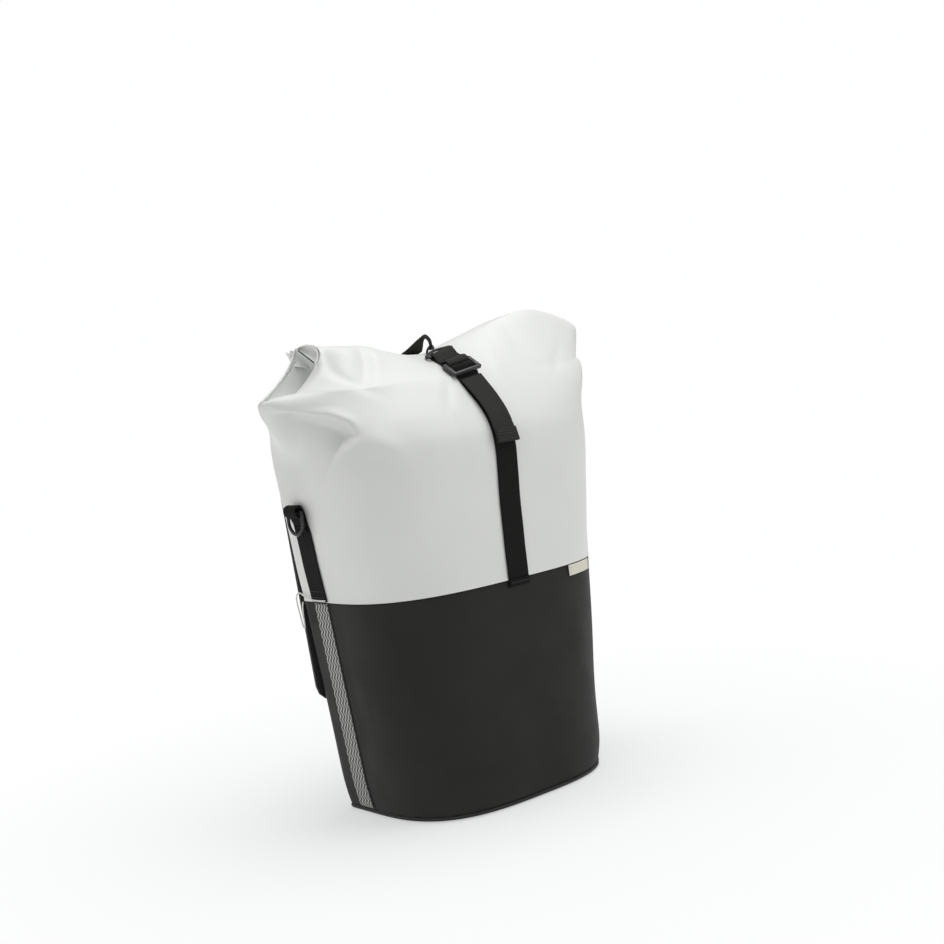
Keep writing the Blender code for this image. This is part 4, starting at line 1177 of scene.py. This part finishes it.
def stitch_row(middle, reach, out, pitch=0.0026):
    """Stitches on a straight line that reaches this far to both sides of its middle."""
    middle, reach = np.array(middle, float), np.array(reach, float)
    return stitch_line([middle - reach, middle + reach], out, pitch)


def cross_stitches(path, shares, lift, across=(1, 0, 0)):
    """Rows of stitches straight across a band, at these shares of its length."""
    rows = []
    for share in shares:
        spot = share * (len(path) - 1)
        k = int(spot)
        along = path[k + 1] - path[k]
        out = unit(np.cross(across, along))
        middle = path[k] + along * (spot - k) + out * lift
        rows += stitch_row(middle, np.array(across) * STITCH_REACH, out)
    return rows


FRONT_STRAP = (
    (-0.0785, 0.2106), (-0.0785, 0.2160), (-0.0792, 0.2500), (-0.0806, 0.2900), (-0.0831, 0.3200),
    (-0.0832, 0.3370), (-0.0805, 0.3530), (-0.0725, 0.3700), (-0.0620, 0.3850), (-0.0560, 0.3925),
)
STRAP_TAIL = (
    (-0.0888, 0.3385), (-0.0872, 0.3440), (-0.0850, 0.3510), (-0.0778, 0.3685), (-0.0670, 0.3845),
    (-0.0570, 0.3965), (-0.0520, 0.4020),
)
BUCKLE_CENTRE = (-0.0420, 0.4130)
BUCKLE_SLOPE = math.radians(32)
HOOK_BAR = (-0.0130, 0.4335)
BAND_R = 0.0026
HOOK_LOOP_R = 0.0022


def tilted(along, out):
    """(0, y, z) of a place in the buckle's own plane."""
    y = BUCKLE_CENTRE[0] + along * math.cos(BUCKLE_SLOPE) - out * math.sin(BUCKLE_SLOPE)
    z = BUCKLE_CENTRE[1] + along * math.sin(BUCKLE_SLOPE) + out * math.cos(BUCKLE_SLOPE)
    return np.array((0.0, y, z))


def make_front_strap():
    """The strap up the front, round the buckle's middle bar and back down as the loose tail."""
    rise = offset_path(FRONT_STRAP, 0.0006 + WEB_T / 2, 60)
    turn = [tilted(*spot) for spot in (
        (-0.0125, -0.0049), (-0.0070, -0.0046), (-0.0015, -0.0040), (0.0022, -0.0022), (0.0030, 0.0004),
        (0.0014, 0.0022), (-0.0014, 0.0020), (-0.0040, 0.0000), (-0.0068, -0.0025), (-0.0110, -0.0031),
    )]
    path = smooth_path(np.vstack([rise[::4], turn]), 190)
    strap = band(path, (1, 0, 0), WEB, WEB_T, 0.00012)
    make_piece("front_webbing", [strap], WEBBING, "black_webbing", "front_strap")
    tail_line = offset_path(STRAP_TAIL, 0.0003 + WEB_T / 2, 50)
    tail = np.vstack([tail_line, [tilted(-0.0110, -0.0031)]])
    tail = smooth_path(tail[::3], 90)
    spread = 1 + 0.06 * smoothstep(0.28, 0.0, np.linspace(0, 1, 90))
    parts = [band(tail, (1, 0, 0), WEB * spread, WEB_T, 0.0001)]
    flap = offset_path(STRAP_TAIL[:3], 0.0003 + WEB_T * 1.55, 16)
    parts.append(band(flap, (1, 0, 0), WEB * 1.03, WEB_T * 1.1))
    make_piece("strap_tail_webbing", parts, LIGHTER_WEBBING, "black_webbing", "strap_tail")
    return cross_stitches(flap, (0.78, 0.62), WEB_T * 0.58)


def make_strap_tab():
    """The webbing's end, folded and sewn down at the seam."""
    places = ((0.0009, -0.0065), (0.0012, -0.0053), (0.0013, -0.0015), (0.0010, 0.0012))
    path = smooth_path([(0, FRONT_Y - out, SEAM + above) for out, above in places], 16)
    second = path[2:13] + np.array([0, -0.0011, 0.0006])
    parts = [
        band(path, (1, 0, 0), WEB + 0.0006, 0.0012, 0.0002),
        band(second, (1, 0, 0), WEB, 0.0010, 0.0002),
    ]
    make_piece("strap_tab_webbing", parts, WEBBING, "black_webbing", "strap_tab")
    return stitch_row((0, FRONT_Y - 0.0029, SEAM - 0.0028), (0.0108, 0, 0), (0, -1, 0), 0.0028)


def make_buckle_webbing():
    """The short doubled webbing between the buckle's far bar and the hook's bar, sewn across its middle."""
    far = tilted(0.0085, 0)
    near = np.array((0, *HOOK_BAR))
    heading = math.atan2(near[2] - far[2], near[1] - far[1])
    path = []
    ends = ((near, -90, HOOK_LOOP_R), (far, 90, BAND_R + WEB_T / 2))
    for centre, turned, radius in ends:
        start = math.degrees(heading) + turned
        path += [(0, y, z) for y, z in arc(centre[1:], radius, start, start + 180, 14)]
    path.append(path[0])
    path = resample(path, 90)
    middle = (near + far) / 2
    along = np.array((0, math.cos(heading), math.sin(heading)))
    normal = np.array((0, -math.sin(heading), math.cos(heading)))
    height = (path - middle) @ normal
    distance = abs((path - middle) @ along)
    pinch = 0.74 * smoothstep(0.0100, 0.0020, distance)
    path = (path - np.outer(height * pinch, normal))[:-1]
    points, faces, uvs = band(path, (1, 0, 0), WEB, WEB_T)
    ring = len(points) // len(path)
    last = len(points) - ring
    faces[-2:] = [(k, (k + 1) % ring, last + (k + 1) % ring, last + k) for k in range(ring)]
    webbing = mesh_object("buckle_webbing_loop", points, faces, uvs)
    finish_piece(webbing, None, LIGHTER_WEBBING, "black_webbing", "buckle_webbing")
    top = middle + normal * (0.0009 + WEB_T / 2)
    rows = []
    for shift in (-0.0016, 0.0016):
        rows += stitch_row(top + shift * along, (STITCH_REACH, 0, 0), normal)
    return rows


# The webbing over the roll: y and z in metres, then its width and thickness in millimetres.
CLOSURE_LOOP = (
    (0.0812, 0.3360, 25, 1.4), (0.0805, 0.3520, 25, 1.4), (0.0768, 0.3720, 25, 1.4),
    (0.0702, 0.3920, 25, 1.4), (0.0630, 0.4080, 25, 1.4), (0.0592, 0.4180, 25, 1.4),
    (0.0535, 0.4262, 25, 1.4), (0.0440, 0.4310, 25, 1.4), (0.0340, 0.4332, 24, 1.5),
    (0.0260, 0.4368, 18, 1.9), (0.0200, 0.4412, 11.5, 2.3), (0.0150, 0.4447, 7.0, 2.5),
    (0.0105, 0.4466, 5.4, 2.5), (0.0065, 0.4462, 4.6, 2.5), (0.0032, 0.4438, 4.0, 2.4),
    (0.0015, 0.4400, 3.6, 2.4), (0.0015, 0.4362, 3.4, 2.4), (0.0028, 0.4326, 3.2, 2.4),
)


def make_closure_loop():
    """Webbing up the back and over the roll, gathered to a narrow standing loop through the hook's eye."""
    places = np.array(CLOSURE_LOOP)
    count = 130
    path = smooth_path(np.column_stack([0 * places[:, 0], places[:, :2]]), count)
    share = np.linspace(0, len(places) - 1, count)
    widths, heights = (np.interp(share, range(len(places)), places[:, k]) / 1000 for k in (2, 3))
    points, faces, uvs = band(path, (1, 0, 0), widths, heights)
    folded = np.array(points).reshape(count, -1, 3)
    narrow = (1 - widths / WEB)[:, None]
    ruck = np.cos(folded[..., 0] / (widths[:, None] / 2) * math.pi * 1.5) - 0.4
    folded[..., 2] += narrow * heights[:, None] * 0.42 * ruck * (narrow < 0.86)
    loop = mesh_object("closure_webbing", folded.reshape(-1, 3), faces, uvs)
    finish_piece(loop, None, LIGHTER_WEBBING, "black_webbing", "closure_loop")
    return cross_stitches(path, (0.020, 0.045), WEB_T / 2, (-1, 0, 0))


RING_BAR_Z = 0.2985
RING_OUT = 0.0058
RING_HALF = 0.0120
RING_STRAIGHT = 0.0095
RING_CORNER = 0.0028
RING_WIRE_R = 0.0016
TAPE_WIDTH = 0.023
TAPE_T = 0.0005


def make_side_webbing(side, sign):
    """Webbing up the side from the seam, folded over the ring's bar and sewn back on itself."""
    first, out, bar_z = 0.0013, RING_OUT, RING_BAR_Z
    spots = (
        (first, 0.2110), (first, 0.2300), (first, 0.2500), (first, 0.2820), (first, 0.2935),
        (0.0030, bar_z + 0.0042), (out, bar_z + 0.0058), (out + 0.0040, bar_z + 0.0040),
        (out + 0.0055, bar_z), (out + 0.0038, bar_z - 0.0040), (out - 0.0002, bar_z - 0.0062),
        (0.0042, bar_z - 0.0090), (0.0031, bar_z - 0.0125), (0.0030, 0.2785),
    )
    path = smooth_path([(sign * (read_line(WIDTH_LINE, z) + away), SIDE_Y, z) for away, z in spots], 120)
    turned = np.linspace(0, 1, 120) > 0.31
    widths = np.where(turned, 0.020, WEB - 0.005 * smoothstep(0.276, 0.292, path[:, 2]))
    webbing = band(path, (0, -sign, 0), widths, WEB_T, 0.0001)
    make_piece(f"side_webbing_band_{side}", [webbing], WEBBING, "black_webbing", f"side_webbing_{side}")
    rows = []
    for z, level, away, reach in (
        (0.2800, 0.2830, 0.0030, 0.0085), (0.2830, 0.2830, 0.0030, 0.0085), (0.2862, 0.2830, 0.0030, 0.0085),
        (0.2150, 0.2150, first, 0.011), (0.2210, 0.2210, first, 0.011),
    ):
        x = sign * (read_line(WIDTH_LINE, level) + away + WEB_T / 2)
        rows += stitch_row((x, SIDE_Y, z), (0, reach, 0), (sign, 0, 0))
    return rows


def make_d_ring(side, sign):
    """A bent wire ring with tight corners at its bar."""
    x = sign * (read_line(WIDTH_LINE, RING_BAR_Z) + RING_OUT)
    inner = RING_HALF - RING_CORNER
    top, bottom = RING_BAR_Z - RING_CORNER, RING_BAR_Z - RING_STRAIGHT
    left, right = SIDE_Y - RING_HALF, SIDE_Y + RING_HALF
    plan = np.vstack([
        np.linspace((SIDE_Y + inner, RING_BAR_Z), (SIDE_Y - inner, RING_BAR_Z), 12),
        arc((SIDE_Y - inner, top), RING_CORNER, 90, 180, 8)[1:],
        np.linspace((left, top), (left, bottom), 8)[1:],
        arc((SIDE_Y, bottom), RING_HALF, 180, 360, 26)[1:],
        np.linspace((right, bottom), (right, top), 8)[1:],
        arc((SIDE_Y + inner, top), RING_CORNER, 0, 90, 8)[1:-1],
    ])
    ring = tube_parts([(x, y, z) for y, z in plan], RING_WIRE_R, 16, closed=True)
    make_piece(f"wire_ring_{side}", [ring], DARK_METAL, "dark_metal", f"d_ring_{side}", body=f"ring_{side}")


def make_reflective_tape(side, sign):
    path = []
    for z in np.linspace(0.0064, SEAM - 0.0010, 90):
        away = read_line(WIDTH_LINE, z) - float(foot_pull(z)) + 0.0003 + TAPE_T / 2
        path.append((sign * away, SIDE_Y, z))
    tape = band(path, (0, -sign, 0), TAPE_WIDTH, TAPE_T)
    make_piece(f"zigzag_tape_{side}", [tape], TAPE, "reflective", f"reflective_strip_{side}")
    rows = []
    for edge in (-0.0109, 0.0109):
        rows += stitch_line(np.array(path) + (sign * 0.00026, edge, 0), (sign, 0, 0), 0.0034)
    return rows


LABEL_HEIGHT = 0.0105
LABEL_OUT = 0.0011


def make_label():
    """A small folded label, blank, that follows the front's curve under the seam."""
    side_y = BACK_Y - STRAIGHT_SIDE
    middle = SEAM - 0.0006 - LABEL_HEIGHT / 2
    width, depth = read_line(WIDTH_LINE, middle) + LABEL_OUT, side_y - FRONT_Y + LABEL_OUT
    x = np.linspace(0.107, 0.068, 40)
    path = np.column_stack([x, side_y - depth * (1 - (x / width) ** BOW) ** (1 / BOW), 0 * x + middle])
    label = band(path, (0, 0, 1), LABEL_HEIGHT, 0.0006)
    make_piece("blank_label", [label], LABEL, "cream_label", "seam_label")
    rows = []
    for k in (3, 36):
        out = unit(np.cross((0, 0, 1), path[k + 1] - path[k]))
        line = np.linspace(path[k] - (0, 0, 0.0042), path[k] + (0, 0, 0.0042), 6)
        rows += stitch_line(line + out * 0.0003, out, 0.0021)
    return rows


# ---------------------------------------------------------------- hard parts

def soften(node, width, finish, slot_name, segments):
    """A copy of a hard CAD node with its edges rounded, which stands for it."""
    source = NODES[node]
    mesh = source.data.copy()
    mesh.transform(source.matrix_world)
    work = bmesh.new()
    work.from_mesh(mesh)
    bmesh.ops.remove_doubles(work, verts=work.verts, dist=0.000005)
    bmesh.ops.dissolve_limit(work, angle_limit=math.radians(1.2), verts=work.verts, edges=work.edges)
    work.to_mesh(mesh)
    work.free()
    obj = link_object(f"{node}_part", mesh)
    mesh.materials.clear()
    rounding = obj.modifiers.new("rounding", "BEVEL")
    rounding.width = width
    rounding.segments = segments
    rounding.limit_method = "ANGLE"
    rounding.angle_limit = math.radians(32)
    rounding.use_clamp_overlap = True
    apply_modifiers(obj)
    obj.data.shade_smooth()
    obj.data.set_sharp_from_angle(angle=math.radians(38))
    finish_piece(obj, source["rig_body"], finish, slot_name, node)


BLACK = (NYLON, "black_plastic", 3)
BRIGHT = (STEEL, "steel", 2)
# Each hard node's edge radius in millimetres, its finish, its slot and the steps round its edges.
SOFTENED = {
    "ladder_buckle": (0.9, *BLACK),
    "hook_rail": (0.35, RAIL, "aluminium", 2), "lower_rail": (0.35, RAIL, "aluminium", 2),
    "rail_cap_left": (0.6, *BLACK), "rail_cap_right": (0.6, *BLACK),
    "lower_rail_cap_left": (0.6, *BLACK), "lower_rail_cap_right": (0.6, *BLACK),
    "rack_hook_left": (0.8, *BLACK), "tube_insert_left": (0.3, INSERT, "grey_insert", 2),
    "latch_left": (0.7, *BLACK), "latch_pin_left": (0.3, *BRIGHT),
    "rack_hook_right": (0.8, *BLACK), "tube_insert_right": (0.3, INSERT, "grey_insert", 2),
    "latch_right": (0.7, *BLACK), "latch_pin_right": (0.3, *BRIGHT),
    "rail_screw_1": (0.3, *BRIGHT), "rail_screw_2": (0.3, *BRIGHT), "rail_screw_3": (0.3, *BRIGHT),
    "rail_screw_4": (0.3, *BRIGHT),
    "lower_rail_screw_1": (0.3, *BRIGHT), "lower_rail_screw_2": (0.3, *BRIGHT),
    "anti_sway_slider": (0.6, *BLACK), "anti_sway_hook": (0.9, *BLACK), "anti_sway_screw": (0.3, *BRIGHT),
    "back_plate": (0.8, BOARD, "black_board", 3),
}
KEPT = {"latch_spring_left": STEEL, "latch_spring_right": STEEL, "back_board": BOARD, "bottom_board": BOARD}


def make_hard_parts():
    for node, (radius, finish, slot_name, segments) in SOFTENED.items():
        soften(node, radius / 1000, finish, slot_name, segments)
    for node, finish in KEPT.items():
        keep(node, finish)


def keep(node, finish):
    """A CAD node that shows as it is, with a finish of its own."""
    obj = NODES[node]
    obj.data.materials.clear()
    obj.data.materials.append(finish)
    obj.data.shade_smooth()
    obj.data.set_sharp_from_angle(angle=math.radians(40))


HOOK_RISE = 0.22
HOOK_WIRE_R = 0.00135
HOOK_CORNER = 0.0022
EYE_REACH = 0.0162
EYE_R = 0.0042
EYE_WIRE_R = 0.00120
# The hook's frame from above: its bar first, then round to the narrow end under the eye.
HOOK_FRAME = np.array((
    (-0.0150, 0.0), (0.0150, 0.0), (0.0150, 0.0052), (0.0042, 0.0112), (-0.0042, 0.0112), (-0.0150, 0.0052),
))


def make_strap_hook():
    """The hook: a wire frame round the webbing's end and a round eye turned on edge."""
    plan = []
    for k, here in enumerate(HOOK_FRAME):
        ways = [HOOK_FRAME[k - 1] - here, HOOK_FRAME[(k + 1) % len(HOOK_FRAME)] - here]
        reach = min(HOOK_CORNER, *(0.45 * np.linalg.norm(way) for way in ways))
        first, last = (here + unit(way) * reach for way in ways)
        for t in np.linspace(0, 1, 6):
            plan.append((1 - t) ** 2 * first + 2 * t * (1 - t) * here + t ** 2 * last)
    frame_path = [(x, HOOK_BAR[0] + a, HOOK_BAR[1] + HOOK_RISE * a) for x, a in plan]
    wire = tube_parts(resample(frame_path + frame_path[:1], 121)[:-1], HOOK_WIRE_R, 12, closed=True)
    centre = np.array((0, HOOK_BAR[0] + EYE_REACH, HOOK_BAR[1] + HOOK_RISE * EYE_REACH))
    along, turned = unit((0, 1, HOOK_RISE)), unit((0.5, -0.866 * HOOK_RISE, 0.866))
    turn = np.linspace(0, 2 * math.pi, 41)[:-1]
    eye_path = [centre + EYE_R * (math.cos(a) * along + math.sin(a) * turned) for a in turn]
    eye = tube_parts(eye_path, EYE_WIRE_R, 12, closed=True)
    make_piece("strap_hook_wire", [wire, eye], DARK_METAL, "dark_metal", "strap_hook", body="closure_hook")


LEANING = (
    "front_webbing", "strap_tail_webbing", "buckle_webbing_loop", "closure_webbing", "strap_stitching",
    "ladder_buckle_part", "strap_hook_wire",
)


def follow_hook():
    """The webbing held by the hook has its placement baked into its mesh: the loop on its bar and the loop in
    its eye.
    """
    held = bpy.data.objects["buckle_webbing_loop"]
    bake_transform(held)
    loop = bpy.data.objects["closure_webbing"]
    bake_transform(loop)


# How the strap leans: to one side, its slope across, more slope at the hook, and the hook's drop.
LEAN = 0.0052
LEAN_SLOPE = 0.17
HOOK_SLOPE = 0.09
HOOK_DROP = 0.0050


def lean_strap():
    """The strap leans to one side towards the roll, whose top climbs under its far edge."""
    for name in LEANING:
        mesh = bpy.data.objects[name].data
        spots = np.zeros(len(mesh.vertices) * 3, np.float32)
        mesh.vertices.foreach_get("co", spots)
        spots = spots.reshape(-1, 3)
        share = smoothstep(0.358, 0.410, spots[:, 2]) * smoothstep(0.052, 0.022, spots[:, 1])
        share = share * (abs(spots[:, 0]) < 0.03)
        if name != "closure_webbing":
            hooked = smoothstep(-0.038, -0.018, spots[:, 1])
            spots[:, 2] += ((LEAN_SLOPE + HOOK_SLOPE * hooked) * spots[:, 0] - HOOK_DROP * hooked) * share
        spots[:, 0] -= LEAN * share
        mesh.vertices.foreach_set("co", spots.ravel())
        mesh.update()


# ---------------------------------------------------------------- floor, light and sky

BACKDROP = (0.995, 1.0, 0.998)
FLOOR_REACH = 6
FLOOR_SIDES = 96


def make_floor():
    """A pale floor that turns into the backdrop's white away from the bag."""
    rim = arc((0, 0), FLOOR_REACH, 0, 360, FLOOR_SIDES + 1)[:-1]
    points = [(0, 0, 0)] + [(x, y, 0) for x, y in rim]
    faces = [(0, k + 1, (k + 1) % FLOOR_SIDES + 1) for k in range(FLOOR_SIDES)]
    floor = mesh_object("floor", points, faces)
    made = Finish("pale_floor", (0.86, 0.87, 0.87), 0.9, Specular_IOR_Level=0.1)
    length = made.node("ShaderNodeVectorMath", operation="LENGTH")
    made.link(made.place.outputs["Object"], length.inputs[0])
    glow = made.node("ShaderNodeEmission")
    glow.inputs["Color"].default_value = (*BACKDROP, 1)
    mix = made.node("ShaderNodeMixShader")
    made.link(made.span(length.outputs["Value"], 0.16, 0.62, 0.50, 1.0), mix.inputs[0])
    made.link(made.shader.outputs[0], mix.inputs[1])
    made.link(glow.outputs[0], mix.inputs[2])
    out = made.tree.nodes["Material Output"]
    made.link(mix.outputs[0], out.inputs["Surface"])
    floor.data.materials.append(made.made)


def area_light(name, place, target, size, power):
    lamp = bpy.data.lights.new(name, "AREA")
    lamp.shape = "DISK"
    lamp.size = size
    lamp.energy = power
    light = link_object(name, lamp)
    light.location = place
    light.rotation_euler = (Vector(target) - Vector(place)).to_track_quat("-Z", "Y").to_euler()
    light.visible_camera = False


def make_lights():
    """Soft light from above and in front, over a sky that is brighter overhead."""
    middle = (0, 0, 0.24)
    area_light("key", (1.35, -1.60, 1.85), middle, 1.6, 9.8)
    area_light("top", (0.25, -0.15, 2.20), middle, 1.6, 24.0)
    area_light("rim", (-1.35, 1.05, 0.75), middle, 1.0, 3.5)
    sky = bpy.data.worlds.new("sky")
    bpy.context.scene.world = sky
    sky.use_nodes = True
    tree = sky.node_tree
    seen = tree.nodes["Background"]
    seen.inputs["Color"].default_value = (*BACKDROP, 1)
    lit = tree.nodes.new("ShaderNodeBackground")
    lit.inputs["Color"].default_value = (0.985, 0.995, 1.0, 1)
    place = tree.nodes.new("ShaderNodeTexCoord")
    axes = tree.nodes.new("ShaderNodeSeparateXYZ")
    height = tree.nodes.new("ShaderNodeMapRange")
    for name, number in zip(SPAN_SOCKETS, (-0.6, 0.9, 0.23, 0.58)):
        height.inputs[name].default_value = number
    path = tree.nodes.new("ShaderNodeLightPath")
    mix = tree.nodes.new("ShaderNodeMixShader")
    tree.links.new(place.outputs["Generated"], axes.inputs[0])
    tree.links.new(axes.outputs["Z"], height.inputs["Value"])
    tree.links.new(height.outputs["Result"], lit.inputs["Strength"])
    tree.links.new(path.outputs["Is Camera Ray"], mix.inputs[0])
    tree.links.new(lit.outputs[0], mix.inputs[1])
    tree.links.new(seen.outputs[0], mix.inputs[2])
    tree.links.new(mix.outputs[0], tree.nodes["World Output"].inputs["Surface"])
    bpy.context.scene.view_settings.view_transform = "Standard"


def main():
    make_camera()
    make_tag_cord()
    make_lower_skin()
    make_upper_skin()
    make_piping()
    sewn = make_front_strap() + make_strap_tab() + make_buckle_webbing() + make_closure_loop()
    taped = []
    for side, sign in (("left", -1), ("right", 1)):
        sewn += make_side_webbing(side, sign)
        taped += make_reflective_tape(side, sign)
        make_d_ring(side, sign)
    make_piece("strap_stitching", sewn, THREAD, "black_webbing")
    make_piece("tape_stitching", taped, THREAD, "black_webbing")
    make_piece("label_stitching", make_label(), LABEL, "black_webbing")
    make_hard_parts()
    make_strap_hook()
    lean_strap()
    follow_hook()
    make_floor()
    make_lights()


main()
bpy.context.view_layer.update()
